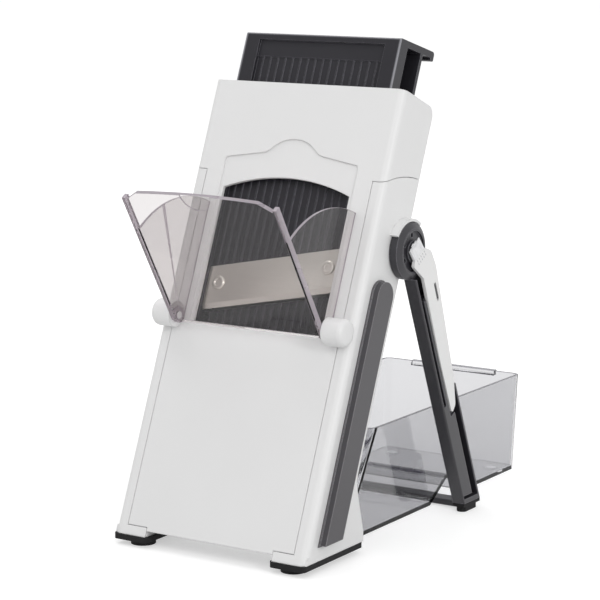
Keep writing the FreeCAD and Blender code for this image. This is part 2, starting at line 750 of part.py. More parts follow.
def hinge_cap():
    """Right hinge cap on the front face, with the pin that carries the chute."""
    inner = CHUTE_WALL_X + CHUTE_WALL / 2 + HINGE_CAP_GAP
    pin_end = CHUTE_WALL_X - CHUTE_WALL / 2
    profile = [(inner, HINGE_CAP_RADIUS)]
    for i in range(HINGE_CAP_STEPS + 1):
        turn = math.radians(90 * i / HINGE_CAP_STEPS)
        x = HALF - HINGE_CAP_DOME * (1 - math.sin(turn))
        profile.append((x, HINGE_CAP_RADIUS - HINGE_CAP_DOME * (1 - math.cos(turn))))
    rings = []
    for x, radius in profile:
        centre = vec(x, HINGE_DEPTH, HINGE_HEIGHT)
        rings.append(ring_points(HINGE_CAP_SIDES, radius, centre, vec(1, 0, 0)))
    cap = stacked(rings)
    cap = cap.cut(block(-FAR, FAR, 0, FAR, -FAR, FAR))
    pin = rod_x(HINGE_PIN_RADIUS, pin_end, inner + HINGE_PIN_RADIUS, HINGE_DEPTH, HINGE_HEIGHT)
    return stand_up(join([cap, pin]))


def leg_pivot():
    """Headed pin that carries the right leg's hub on the housing."""
    head_in = HUB_FACE + PIVOT_HEAD_GAP
    shank = rod_x(PIVOT_RADIUS, HALF - EAR_DEPTH, head_in + PIVOT_HEAD_HEIGHT / 2, HUB_Y, HUB_Z)
    base = vec(head_in, HUB_Y, HUB_Z)
    head = faceted_rod(PIVOT_HEAD_SIDES, PIVOT_HEAD_RADIUS, base, vec(PIVOT_HEAD_HEIGHT, 0, 0))
    return join([shank, head])


def spring_rod():
    """Right guide rod, from its blind seat to the upper bracket."""
    low = ROD_SEAT_TOP - ROD_SEAT_HEIGHT / 2
    return stand_up(rod_z(ROD_RADIUS, low, ROD_BRACKET_TOP + ROD_SEAT_HEIGHT, ROD_X, SPRING_DEPTH))


def return_spring():
    """Right compression spring, coiled on its rod from the seat to the plunger's tab."""
    low = ROD_SEAT_TOP + SPRING_END_GAP + SPRING_WIRE / 2
    high = SPRING_TAB_LOW - SPRING_END_GAP - SPRING_WIRE / 2
    steps = SPRING_TURNS * SPRING_SIDES
    corner = SPRING_MEAN_RADIUS / math.cos(math.pi / SPRING_SIDES)
    path = []
    for i in range(steps + 1):
        turn = 2 * math.pi * i / SPRING_SIDES
        x = ROD_X + corner * math.cos(turn)
        y = SPRING_DEPTH + corner * math.sin(turn)
        path.append(vec(x, y, low + (high - low) * i / steps))
    half = SPRING_WIRE / 2
    start = path[0]
    corners = [start + vec(-half, 0, -half), start + vec(half, 0, -half)]
    corners += [start + vec(half, 0, half), start + vec(-half, 0, half)]
    section = Part.makePolygon(corners + corners[:1])
    coil = Part.makePolygon(path).makePipeShell([section], True, False, 1)
    return stand_up(coil)


def housing_screws():
    """Four screws that hold the front cover to the rear shell."""
    screws = [screw(place, LOW_SCREW_LENGTH) for place in low_screw_line()]
    screws += [screw(place, tab_screw_length()) for place in tab_screw_line()]
    return stand_up(Part.makeCompound(screws))


def handle_top():
    """Sloping top plate of the handle with its turned-down rear lip."""
    top_back = HANDLE_TOP + HANDLE_RISE
    lip_front = HANDLE_LIP_DEPTH - HANDLE_LIP_WALL
    under_back = top_back - HANDLE_PLATE - HANDLE_RISE * HANDLE_LIP_WALL / HANDLE_LIP_DEPTH
    outline = [(RAIL_FRONT, HANDLE_TOP), (HANDLE_LIP_DEPTH, top_back)]
    outline += [(HANDLE_LIP_DEPTH, top_back - HANDLE_LIP_DROP), (lip_front, top_back - HANDLE_LIP_DROP)]
    outline += [(lip_front, under_back), (RAIL_FRONT, HANDLE_TOP - HANDLE_PLATE)]
    radii = [1.0, HANDLE_LIP_RADIUS, 1.2, 1.0, 0, 0]
    return side_prism(outline, -RAIL_OUTER, RAIL_OUTER, radii)


def rail():
    """Right rail of the plunger with its guide tongue and spring tab."""
    top = HANDLE_TOP - HANDLE_PLATE / 2
    body = block(RAIL_INNER, RAIL_OUTER, RAIL_FRONT, RAIL_BACK, RAIL_BOTTOM, top)
    tongue_out = RAIL_OUTER + TONGUE_REACH
    tongue_back = TONGUE_FRONT + TONGUE_THICKNESS
    tongue = block(RAIL_OUTER - 1, tongue_out, TONGUE_FRONT, tongue_back, RAIL_BOTTOM, TONGUE_TOP)
    tab_back = SPRING_DEPTH + ROD_BRACKET_REACH
    tab_high = SPRING_TAB_LOW + SPRING_TAB_HEIGHT
    tab = block(RAIL_INNER, RAIL_OUTER, RAIL_BACK - 1, tab_back, SPRING_TAB_LOW, tab_high)
    hole = rod_z(ROD_RADIUS + ROD_CLEARANCE, 0, FAR, ROD_X, SPRING_DEPTH)
    return join([body, tongue, tab]).cut(hole)


def rivet_places():
    """Centres of the blade's two rivets, across and up the plunger."""
    places = []
    for x in (-OPENING_HALF + RIVET_INSET, OPENING_HALF - RIVET_INSET):
        places.append((x, blade_edge(x) + RIVET_RISE))
    return places


def plunger():
    """Handle, ribbed board and side rails in one moulding."""
    top = HANDLE_TOP - HANDLE_PLATE / 2
    low_left = blade_edge(-RAIL_INNER) + THROAT
    low_right = blade_edge(RAIL_INNER) + THROAT
    field = [(-RAIL_INNER, low_left), (RAIL_INNER, low_right), (RAIL_INNER, top), (-RAIL_INNER, top)]
    board = prism([vec(x, FIELD_FRONT, z) for x, z in field], vec(0, FIELD_THICKNESS, 0))
    band_low = HANDLE_TOP - BAND_HEIGHT
    band = block(-RAIL_INNER, RAIL_INNER, FIELD_FRONT - BAND_STEP, FIELD_BACK, band_low, top)
    rear_top = HANDLE_TOP + HANDLE_RISE - HANDLE_PLATE
    rear = block(-RAIL_OUTER, RAIL_OUTER, HANDLE_REAR_DEPTH, HANDLE_REAR_BACK, HANDLE_REAR_LOW, rear_top)
    rear = rear.cut(block(-FAR, FAR, -FAR, FAR, rear_top - 1, FAR))
    pieces = [board, band, rear, handle_top()] + both(rail())
    for x in rib_places():
        low = blade_edge(x) + BLADE_HEIGHT / math.cos(math.radians(BLADE_SLANT)) + 1
        x0 = x - RIB_WIDTH / 2
        pieces.append(block(x0, x0 + RIB_WIDTH, FIELD_FRONT - RIB_HEIGHT, FIELD_FRONT + 1, low, band_low))
    moulding = join(pieces)
    for x, height in rivet_places():
        moulding = moulding.cut(rod_y(RIVET_RADIUS + RIVET_CLEARANCE, 0, FIELD_BACK + 5, x, height))
    return stand_up(moulding)


def lower_plate():
    """Ribbed plate below the blade that sets the thickness of a slice."""
    low_right = blade_edge(RAIL_INNER) - PLATE_EDGE_GAP
    low_left = blade_edge(-RAIL_INNER) - PLATE_EDGE_GAP
    outline = [(-RAIL_INNER, RAIL_BOTTOM), (RAIL_INNER, RAIL_BOTTOM)]
    outline += [(RAIL_INNER, low_right), (-RAIL_INNER, low_left)]
    pieces = [prism([vec(x, PLATE_FRONT, z) for x, z in outline], vec(0, PLATE_THICKNESS, 0))]
    for x in rib_places():
        x0 = x - RIB_WIDTH / 2
        high = blade_edge(x0) - PLATE_EDGE_GAP - 0.5
        front = PLATE_FRONT - RIB_HEIGHT
        pieces.append(block(x0, x0 + RIB_WIDTH, front, PLATE_FRONT + 1, RAIL_BOTTOM, high))
    return stand_up(join(pieces))


def blade():
    """Slanting steel blade with a bevelled lower edge."""
    half = RAIL_INNER - BLADE_END_CLEARANCE
    outline = [(FIELD_FRONT, 0), (FIELD_FRONT, BLADE_HEIGHT), (BLADE_FRONT, BLADE_HEIGHT)]
    outline += [(BLADE_FRONT, BLADE_BEVEL)]
    steel = side_prism(outline, -RAIL_INNER, 3 * RAIL_INNER)
    steel.rotate(vec(0, 0, 0), vec(0, 1, 0), -BLADE_SLANT)
    steel.translate(vec(-OPENING_HALF, 0, BLADE_LEFT_EDGE))
    steel = steel.common(block(-half, half, 0, HOUSING_DEPTH, 0, HOUSING_LENGTH))
    for x, height in rivet_places():
        steel = steel.cut(rod_y(RIVET_RADIUS + RIVET_CLEARANCE, 0, HOUSING_DEPTH, x, height))
    return stand_up(steel)


def blade_rivets():
    """Two dome-headed rivets through the blade and the board."""
    rivets = []
    for x, height in rivet_places():
        base = vec(x, BLADE_FRONT, height)
        head = faceted_rod(RIVET_SIDES, RIVET_HEAD_RADIUS, base, vec(0, -RIVET_HEAD_HEIGHT, 0))
        shank = screw_rod(RIVET_RADIUS, BLADE_FRONT, FIELD_BACK, x, height)
        rivets.append(join([head, shank]))
    return stand_up(Part.makeCompound(rivets))


def chute_point(x, s, n):
    """Column-frame point at s up the chute's front panel and n in from its hinge line."""
    tilt = math.radians(CHUTE_TILT)
    depth = HINGE_DEPTH - s * math.sin(tilt) + n * math.cos(tilt)
    height = HINGE_HEIGHT + s * math.cos(tilt) + n * math.sin(tilt)
    return vec(x, depth, height)


def chute_wall():
    """Right side wall: thicker front strip, notch above it, arched top, straight back edge, hinge ear."""
    x0 = CHUTE_WALL_X - CHUTE_WALL / 2
    drop = -CHUTE_PANEL_DROP
    foot = chute_point(x0, 0, drop)
    notch_front = chute_point(x0, CHUTE_FLANGE_TOP, drop)
    notch_inner = chute_point(x0, CHUTE_FLANGE_TOP, drop + CHUTE_FLANGE)
    notch = chute_point(x0, CHUTE_NOTCH_S, drop + CHUTE_FLANGE)
    crest = vec(x0, CHUTE_ARC_DEPTH, CHUTE_ARC_HEIGHT)
    back_top = vec(x0, -CHUTE_BACK_GAP, CHUTE_BACK_TOP)
    back_low = vec(x0, -CHUTE_BACK_GAP, HINGE_HEIGHT)
    corners = [foot, notch_front, notch_inner, notch]
    edges = [Part.makeLine(a, b) for a, b in zip(corners, corners[1:])]
    edges.append(Part.Arc(notch, crest, back_top).toShape())
    edges.append(Part.makeLine(back_top, back_low))
    edges.append(Part.makeLine(back_low, foot))
    wall = Part.Face(Part.Wire(edges)).extrude(vec(CHUTE_WALL, 0, 0))
    step_x = x0 + CHUTE_WALL - CHUTE_STEP
    inner = drop + CHUTE_FLANGE
    behind = [(-FAR, inner), (FAR, inner), (FAR, FAR), (-FAR, FAR)]
    wall = wall.cut(prism([chute_point(step_x, s, n) for s, n in behind], vec(FAR, 0, 0)))
    ear = rod_x(CHUTE_EAR_RADIUS, x0, x0 + CHUTE_WALL, HINGE_DEPTH, HINGE_HEIGHT)
    return join([wall, ear])


def chute():
    """Clear food chute: front panel and two side walls that turn on the hinge pins."""
    half = CHUTE_WALL_X + CHUTE_WALL / 2
    flat_half = half - CHUTE_CORNER_X
    drop = -CHUTE_PANEL_DROP
    top = CHUTE_PANEL_LENGTH
    side_top = top - CHUTE_CORNER_S
    right = [(half, 0), (half, side_top), (flat_half, top)]
    corners = [chute_point(x, s, drop) for x, s in right]
    left = [chute_point(-x, s, drop) for x, s in reversed(right)]
    crown = chute_point(0, top + CHUTE_CROWN, drop)
    edges = [Part.makeLine(corners[0], corners[1]), Part.makeLine(corners[1], corners[2])]
    edges.append(Part.Arc(corners[2], crown, left[0]).toShape())
    edges += [Part.makeLine(left[0], left[1]), Part.makeLine(left[1], left[2])]
    edges.append(Part.makeLine(left[2], corners[0]))
    inward = chute_point(0, 0, CHUTE_WALL) - chute_point(0, 0, 0)
    panel = Part.Face(Part.Wire(edges)).extrude(inward)
    thumb_axis = chute_point(0, 0, 1) - chute_point(0, 0, 0)
    thumb_at = chute_point(0, top + CHUTE_CROWN, drop - 1)
    thumb = Part.makeCylinder(THUMB_RADIUS, 1 + THUMB_DEPTH, thumb_at, thumb_axis)
    body = join([panel.cut(thumb)] + both(chute_wall()))
    hole = rod_x(HINGE_PIN_RADIUS + HINGE_PIN_CLEARANCE, -FAR, FAR, HINGE_DEPTH, HINGE_HEIGHT)
    return stand_up(body.cut(hole))


def leg_point(x, s, t):
    """World point at s down the leg from its pivot and t back across it."""
    y = HUB_Y + s * SPLAY_SIN + t * SPLAY_COS
    z = HUB_Z - s * SPLAY_COS + t * SPLAY_SIN
    return vec(x, y, z)


def leg_reach(t, height):
    """Distance down the leg at which its line t comes to a height above the table."""
    return (HUB_Z + t * SPLAY_SIN - height) / SPLAY_COS


def leg_bar(x0, x1, t0, t1, start, height):
    """Straight bar along the leg, cut level at a height above the table."""
    points = [leg_point(x0, start, t0), leg_point(x0, leg_reach(t0, height), t0)]
    points += [leg_point(x0, leg_reach(t1, height), t1), leg_point(x0, start, t1)]
    return prism(points, vec(x1 - x0, 0, 0))


def hub_pockets():
    """Small square pockets set in a ring in the hub's face."""
    half = HUB_POCKET / 2
    pocket = block(HUB_FACE - HUB_POCKET_DEPTH, HUB_OUT, -half, half, -half, half)
    pocket.translate(vec(0, HUB_Y, HUB_Z + HUB_POCKET_CIRCLE))
    pockets = []
    for i in range(HUB_POCKET_COUNT):
        turned = pocket.copy()
        turned.rotate(vec(0, HUB_Y, HUB_Z), vec(1, 0, 0), i * 360 / HUB_POCKET_COUNT)
        pockets.append(turned)
    return pockets


def leg_slot(x0, t0, t1, end):
    """Square-ended cutter along the leg's outer face, from the pivot down."""
    corners = [(0, t0), (end, t0), (end, t1), (0, t1)]
    return prism([leg_point(x0, s, t) for s, t in corners], vec(FAR, 0, 0))


def leg_hollows():
    """Cutters of the leg's outer face: hub recess, grooves round the panel and a shelf for the brush."""
    floor = LEG_IN + LEG_FLOOR
    front_in = LEG_FRONT_T + LEG_FLANGE
    back_in = LEG_BACK_T - LEG_FLANGE
    rim = LEG_BOTTOM + LEG_RIM
    pocket = leg_bar(floor, FAR, front_in, back_in, 0, rim)
    panel_back = back_in - LEG_REAR_GROOVE
    panel = leg_bar(0, 2 * FAR, front_in - 1, panel_back, LEG_RECESS_LENGTH, rim + LEG_FOOT_GROOVE)
    groove = leg_slot(floor, front_in, front_in + LEG_FRONT_GROOVE, LEG_FRONT_GROOVE_LENGTH)
    shelf_end = BRUSH_LENGTH + LEG_SHELF_MARGIN
    shelf = leg_slot(LEG_SHELF, LEG_FRONT_T + LEG_SHELF_SETBACK, back_in, shelf_end)
    shelf_rear = leg_slot(LEG_SHELF, back_in, FAR, LEG_SHELF_REAR_END)
    return [pocket.cut(panel), groove, shelf, shelf_rear]


def leg():
    """Right leg: bar with a grooved outer face below a round hub with a bevelled rim."""
    arm = leg_bar(LEG_IN, LEG_OUT, LEG_FRONT_T, LEG_BACK_T, 0, LEG_BOTTOM)
    edge_middle = leg_point(LEG_OUT, leg_reach(LEG_FRONT_T, LEG_BOTTOM) / 2, LEG_FRONT_T)
    arm = arm.makeFillet(LEG_EDGE_RADIUS, pick_edges(arm, lambda p: (p - edge_middle).Length < 1))
    for hollow in leg_hollows():
        arm = arm.cut(hollow)
    arm = arm.cut(rod_x(HUB_RADIUS, 0, FAR, HUB_Y, HUB_Z))
    bevel_in = LEG_IN + HUB_BARREL
    barrel = rod_x(HUB_RADIUS, LEG_IN, bevel_in, HUB_Y, HUB_Z)
    bevel_at = vec(bevel_in, HUB_Y, HUB_Z)
    bevel = Part.makeCone(HUB_RADIUS, HUB_BEVEL_RADIUS, HUB_BEVEL, bevel_at, vec(1, 0, 0))
    body = join([arm, barrel, bevel])
    body = body.cut(rod_x(HUB_FACE_RADIUS, HUB_FACE, FAR, HUB_Y, HUB_Z))
    for square in hub_pockets():
        body = body.cut(square)
    return body.cut(rod_x(PIVOT_RADIUS + PIVOT_CLEARANCE, 0, FAR, HUB_Y, HUB_Z))


def brush_peg():
    """Fin on the right leg that holds the brush through its slot."""
    half_length = (BRUSH_SLOT_LENGTH - BRUSH_SLOT_WIDTH) / 2
    half_width = BRUSH_SLOT_WIDTH / 2 - BRUSH_PEG_CLEARANCE
    foot = LEG_IN + LEG_FLOOR / 2
    top = BRUSH_IN + BRUSH_THICKNESS - BRUSH_PEG_DROP
    corners = [(-half_length, -half_width), (half_length, -half_width)]
    corners += [(half_length, half_width), (-half_length, half_width)]
    points = [leg_point(foot, BRUSH_SLOT_S + s, BRUSH_SLOT_T + t) for s, t in corners]
    return prism(points, vec(top - foot, 0, 0))


def leg_feet():
    """Rubber foot under each leg: a plate of the leg's own outline on a smaller sole."""
    front = leg_point(0, leg_reach(LEG_FRONT_T, LEG_BOTTOM), LEG_FRONT_T).y
    back = leg_point(0, leg_reach(LEG_BACK_T, LEG_BOTTOM), LEG_BACK_T).y
    plate = block(LEG_IN, LEG_OUT, front, back, LEG_BOTTOM - LEG_FOOT_PLATE, LEG_BOTTOM)
    inset = LEG_FOOT_INSET
    sole_top = LEG_BOTTOM - LEG_FOOT_PLATE
    sole = block(LEG_IN + inset, LEG_OUT - inset, front + 2 * inset, back - 2 * inset, 0, sole_top)
    upright = pick_edges(sole, lambda p: abs(p.z - sole_top / 2) < 0.01)
    sole = sole.makeChamfer(LEG_FOOT_BEVEL, upright)
    return Part.makeCompound(both(join([plate, sole])))


def crossbar_tab_t():
    """Middle line, across the leg, of the crossbar's end tabs."""
    return LEG_OFFSET + (LEG_WIDTH - CROSSBAR_TAB_WIDTH) / 2


def crossbar():
    """Low bar between the feet of the legs, with a tab up each leg's inner face."""
    rear = CROSSBAR_FRONT + CROSSBAR_WIDTH
    top = CROSSBAR_BOTTOM + CROSSBAR_HEIGHT
    bar = block(-LEG_IN, LEG_IN, CROSSBAR_FRONT, rear, CROSSBAR_BOTTOM, top)
    middle = crossbar_tab_t()
    t0 = middle - CROSSBAR_TAB_WIDTH / 2
    t1 = middle + CROSSBAR_TAB_WIDTH / 2
    start = leg_reach(middle, CROSSBAR_TAB_TOP)
    tab = leg_bar(LEG_IN - CROSSBAR_TAB, LEG_IN, t0, t1, start, CROSSBAR_BOTTOM)
    body = join([bar] + both(tab))
    for hole in tab_screw_holes():
        body = body.cut(hole)
    return body


def tab_screw_centres():
    """Two screw places on each of the crossbar's tabs."""
    middle = crossbar_tab_t()
    start = leg_reach(middle, CROSSBAR_TAB_TOP)
    first = start + CROSSBAR_TAB_WIDTH / 2
    return [leg_point(0, first + i * TAB_SCREW_SPACING, middle) for i in range(2)]


def tab_screw_holes():
    """Holes for the tab screws, right and left."""
    radius = TAB_SCREW_RADIUS + SCREW_CLEARANCE
    holes = []
    for centre in tab_screw_centres():
        base = vec(LEG_IN - CROSSBAR_TAB, centre.y, centre.z)
        holes += both(faceted_rod(SCREW_SIDES, radius, base, vec(CROSSBAR_TAB + TAB_SCREW_SINK, 0, 0)))
    return holes


def crossbar_screws():
    """Four screws that hold the crossbar's tabs to the legs."""
    head_in = LEG_IN - CROSSBAR_TAB
    screws = []
    for centre in tab_screw_centres():
        base = vec(head_in, centre.y, centre.z)
        shank = faceted_rod(SCREW_SIDES, TAB_SCREW_RADIUS, base, vec(CROSSBAR_TAB + TAB_SCREW_SINK, 0, 0))
        head = faceted_rod(SCREW_SIDES, TAB_SCREW_HEAD_RADIUS, base, vec(-TAB_SCREW_HEAD_HEIGHT, 0, 0))
        screws += both(join([shank, head]))
    return Part.makeCompound(screws)


def brush_tilt():
    """Angle by which the brush leans in, from the hub down to its tip on the leg's shelf."""
    drop = BRUSH_IN - LEG_SHELF
    return math.degrees(math.atan2(drop, BRUSH_LENGTH))


def seat_brush(shape):
    """Lean a brush piece, drawn flat beside the hub, so that its tip comes down to the leg."""
    seated = shape.copy()
    across = vec(0, SPLAY_COS, SPLAY_SIN)
    seated.rotate(vec(BRUSH_IN, HUB_Y, HUB_Z), across, brush_tilt())
    return seated


def brush_point(x, along, across):
    """Point of the brush's outline, as shares of its length and width."""
    return leg_point(x, along * BRUSH_LENGTH, across * BRUSH_WIDTH)


def brush_outline():
    """Corners of the brush handle, from the head's front round to the head's back."""
    front = [(0.037, -0.33), (0.058, -0.47), (0.163, 0.05), (0.648, 0.01), (1.0, 0.1)]
    back = [(0.973, 0.49), (0.823, 0.77), (0.303, 1.05), (0.16, 1.13), (0.062, 0.99), (0.019, 0.61)]
    return front + back


def brush_handle():
    """Flat white brush handle with a bent head and a hanging slot."""
    x0 = BRUSH_IN
    rounding = [0.004, 0.009, 0.045, 0.27, 0.013, 0.036, 0.36, 0.36, 0.071, 0.045, 0.004]
    points = [brush_point(x0, along, across) for along, across in brush_outline()]
    body = prism(points, vec(BRUSH_THICKNESS, 0, 0), [share * BRUSH_LENGTH for share in rounding])
    half_length = BRUSH_SLOT_LENGTH / 2
    half_width = BRUSH_SLOT_WIDTH / 2
    corners = [(-half_length, -half_width), (half_length, -half_width)]
    corners += [(half_length, half_width), (-half_length, half_width)]
    slot = [leg_point(LEG_IN, BRUSH_SLOT_S + s, BRUSH_SLOT_T + t) for s, t in corners]
    body = seat_brush(body)
    return body.cut(prism(slot, vec(2 * LEG_THICKNESS, 0, 0), [half_width * 0.95] * 4))


def brush_bristles():
    """Block of bristles that stands out of the brush's head."""
    x0 = BRUSH_IN + (BRUSH_THICKNESS - BRISTLE_THICKNESS) / 2
    head_front = brush_point(x0, *brush_outline()[0])
    head_back = brush_point(x0, *brush_outline()[-1])
    inset = (head_back - head_front) * BRISTLE_INSET
    tip_back = brush_point(x0, -0.066, 0.35)
    tip_front = brush_point(x0, -0.043, -0.5)
    points = [head_front + inset, head_back - inset, tip_back, tip_front]
    return seat_brush(prism(points, vec(BRISTLE_THICKNESS, 0, 0)))


def bin_plan(half, front, rear, radius, z):
    """Plan of the bin at one height, its corners rounded in flat steps."""
    centres = [(half - radius, front + radius), (half - radius, rear - radius)]
    centres += [(radius - half, rear - radius), (radius - half, front + radius)]
    points = []
    for i in range(4):
        for step in range(BIN_CORNER_STEPS + 1):
            turn = math.radians(90 * (i - 1 + step / BIN_CORNER_STEPS))
            x = centres[i][0] + radius * math.cos(turn)
            y = centres[i][1] + radius * math.sin(turn)
            points.append(vec(x, y, z))
    return points


def bin_loft(inset, low, high):
    """Tapered bin form, drawn in by a wall all round, between two heights."""
    plans = []
    for z in (low, high):
        share = (z - BIN_FLOOR_Z) / (BIN_TOP_Z - BIN_FLOOR_Z)
        half = BIN_HALF_LOW + (BIN_HALF_TOP - BIN_HALF_LOW) * share - inset
        front = BIN_FRONT_LOW + (BIN_FRONT_TOP - BIN_FRONT_LOW) * share + inset
        rear = BIN_REAR_LOW + (BIN_REAR_TOP - BIN_REAR_LOW) * share - inset
        plans.append(bin_plan(half, front, rear, BIN_CORNER_RADIUS - inset, z))
    return stacked(plans)


def tunnel(lift):
    """Ridge under the bin that straddles the crossbar, raised by a floor's thickness."""
    low = BIN_FLOOR_Z - 5
    ridge = BIN_FLOOR_Z + TUNNEL_HEIGHT + lift
    front_run = TUNNEL_RIDGE - TUNNEL_FRONT
    rear_run = TUNNEL_REAR - TUNNEL_RIDGE
    spread = (lift + 5) / TUNNEL_HEIGHT
    outline = [(TUNNEL_FRONT - front_run * spread, low), (TUNNEL_REAR + rear_run * spread, low)]
    outline += [(TUNNEL_RIDGE, ridge)]
    return side_prism(outline, -FAR, FAR, [0, 0, TUNNEL_RIDGE_RADIUS])


def catch_bin():
    """Clear catch bin with a slanted open front, a rear grip lip and a tunnel for the crossbar."""
    outer = bin_loft(0, BIN_FLOOR_Z, BIN_TOP_Z)
    hollow = bin_loft(BIN_WALL, BIN_FLOOR_Z + BIN_FLOOR, BIN_TOP_Z + 1)
    body = outer.cut(tunnel(0)).cut(hollow.cut(tunnel(BIN_FLOOR)))
    front_low = BIN_FLOOR_Z + BIN_FRONT_WALL
    mouth_half = BIN_HALF_LOW - BIN_CORNER_RADIUS
    slant = (BIN_FRONT_TOP - BIN_FRONT_LOW) / (BIN_TOP_Z - BIN_FLOOR_Z)
    cut_top = BIN_TOP_Z + 5
    front_at_low = BIN_FRONT_LOW + slant * BIN_FRONT_WALL
    front_at_top = BIN_FRONT_LOW + slant * (cut_top - BIN_FLOOR_Z)
    depth = 2 * BIN_WALL + BIN_CORNER_RADIUS
    outline = [(front_at_low - depth, front_low), (front_at_low + depth, front_low)]
    outline += [(front_at_top + depth, cut_top), (front_at_top - depth, cut_top)]
    body = body.cut(side_prism(outline, -mouth_half, mouth_half))
    lip_front = BIN_REAR_TOP - BIN_WALL / 2
    lip_low = BIN_TOP_Z - BIN_LIP_HEIGHT
    lip = block(-BIN_LIP_HALF, BIN_LIP_HALF, lip_front, BIN_REAR_TOP + BIN_LIP_REACH, lip_low, BIN_TOP_Z)
    lip_edges = pick_edges(lip, lambda p: p.y > BIN_REAR_TOP + BIN_LIP_REACH - 0.01)
    lip = lip.makeChamfer(BIN_LIP_HEIGHT * 0.3, lip_edges)
    pieces = [body, lip]
    for y in (BIN_FRONT_LOW + BIN_NUB_INSET, BIN_REAR_LOW - BIN_NUB_INSET):
        base = vec(BIN_HALF_LOW - BIN_NUB_INSET, y, 0)
        nub_height = vec(0, 0, BIN_FLOOR_Z + BIN_FLOOR / 2)
        pieces += both(faceted_rod(SCREW_SIDES, BIN_NUB_RADIUS, base, nub_height))
    return join(pieces)


def middle_y():
    """Half way from the chute's front edge to the bin's lip, back from the column's front edge."""
    tip = chute_point(0, CHUTE_PANEL_LENGTH + CHUTE_CROWN, -CHUTE_PANEL_DROP)
    front = tip.y * LEAN_COS + tip.z * LEAN_SIN
    rear = BIN_REAR_TOP + BIN_LIP_REACH
    return (front + rear) / 2


def export(name, shape):
    """Move a finished piece to the part's own origin and write it."""
    placed = shape.copy()
    placed.translate(vec(0, -middle_y(), 0))
    placed.exportStep("parts/" + name + ".step")


def export_pair(name, shape):
    """Write a right-hand piece and its left-hand twin."""
    export(name + "_right", shape)
    export(name + "_left", mirrored(shape))


def main():
    os.makedirs("parts", exist_ok=True)
    export("front_cover", front_cover())
    export("rear_shell", rear_shell())
    export_pair("side_strip", side_strip())
    export_pair("base_pad", base_pad())
    export("base_feet", base_feet())
    export_pair("hinge_cap", hinge_cap())
    export_pair("leg_pivot", leg_pivot())
    export_pair("spring_rod", spring_rod())
    export_pair("return_spring", return_spring())
    export("housing_screws", housing_screws())
    export("plunger", plunger())
    export("lower_plate", lower_plate())
    export("blade", blade())
    export("blade_rivets", blade_rivets())
    export("chute", chute())
    right_leg = leg()
    for hole in tab_screw_holes():
        right_leg = right_leg.cut(hole)
    export("leg_left", mirrored(right_leg))
    export("leg_right", join([right_leg, brush_peg()]))
    export("crossbar", crossbar())
    export("crossbar_screws", crossbar_screws())
    export("leg_feet", leg_feet())
    export("brush_handle", brush_handle())
    export("brush_bristles", brush_bristles())
    export("bin", catch_bin())


main()
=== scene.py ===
# %% [markdown]
# A standing plunge slicer, dressed for its portrait. The construction is finished elsewhere: a
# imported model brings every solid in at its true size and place. This lesson loads that model,
# gives each piece the surface it has in life, adds the small turned and bristled details, and
# sets up a plain pale studio with the camera at the photograph's viewpoint. Everything is in
# metres, with +Z up and the feed chute facing -Y. The housing leans back, so its own upward and
# backward directions are worked out once, from the angle of the lean.

import json
import math
import random

import bmesh
import bpy
from mathutils import Matrix, Vector


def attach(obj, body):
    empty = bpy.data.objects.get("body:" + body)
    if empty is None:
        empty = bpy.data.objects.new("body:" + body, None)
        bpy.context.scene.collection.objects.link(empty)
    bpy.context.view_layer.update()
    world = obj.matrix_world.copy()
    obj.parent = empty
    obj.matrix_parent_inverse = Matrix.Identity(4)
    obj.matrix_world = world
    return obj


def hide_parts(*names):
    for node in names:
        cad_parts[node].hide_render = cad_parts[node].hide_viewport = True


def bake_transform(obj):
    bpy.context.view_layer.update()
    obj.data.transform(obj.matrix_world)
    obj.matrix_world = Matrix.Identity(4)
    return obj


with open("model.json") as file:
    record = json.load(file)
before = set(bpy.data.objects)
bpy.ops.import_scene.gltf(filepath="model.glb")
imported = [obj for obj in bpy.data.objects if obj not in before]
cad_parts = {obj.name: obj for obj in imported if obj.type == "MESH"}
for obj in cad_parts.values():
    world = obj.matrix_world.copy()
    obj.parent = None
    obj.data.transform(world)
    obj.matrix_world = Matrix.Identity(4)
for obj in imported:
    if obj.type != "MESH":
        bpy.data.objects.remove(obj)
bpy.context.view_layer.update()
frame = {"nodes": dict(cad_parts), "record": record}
MM = 0.001
MERGE_DISTANCE = 0.001 * MM
LEAN = math.radians(22.46)
UPWARD = Vector((0.0, math.sin(LEAN), math.cos(LEAN)))
BACKWARD = Vector((0.0, math.cos(LEAN), -math.sin(LEAN)))
print("solids loaded:", len(frame["nodes"]))

# %% [markdown]
# The photograph was taken from the front right, a little above the table, with a long lens. The
# viewing angle, distance and focal length below were worked out from the edges of the housing, so
# the render lines up with the photograph without any shift of the picture.

# %% Camera at the photograph's viewpoint
CAMERA_AZIMUTH = math.radians(32.86)
CAMERA_ELEVATION = math.radians(10.1)
CAMERA_DISTANCE = 1324.08 * MM
CAMERA_TARGET = Vector((1.2, -43.43, 134.12)) * MM
FOCAL_LENGTH_MM = 136.18
SENSOR_MM = 36.0

towards_camera = Vector(
    (
        math.sin(CAMERA_AZIMUTH) * math.cos(CAMERA_ELEVATION),
        -math.cos(CAMERA_AZIMUTH) * math.cos(CAMERA_ELEVATION),
        math.sin(CAMERA_ELEVATION),
    )
)
camera_data = bpy.data.cameras.new("portrait_camera")
camera_data.lens = FOCAL_LENGTH_MM
camera_data.sensor_width = SENSOR_MM
camera_data.clip_end = 50.0
camera = bpy.data.objects.new("portrait_camera", camera_data)
camera.location = CAMERA_TARGET + towards_camera * CAMERA_DISTANCE
camera.rotation_euler = (-towards_camera).to_track_quat("-Z", "Y").to_euler()
bpy.context.scene.collection.objects.link(camera)
bpy.context.scene.camera = camera
bpy.context.scene.view_settings.view_transform = "Standard"
print("camera at mm:", [round(v / MM) for v in camera.location])

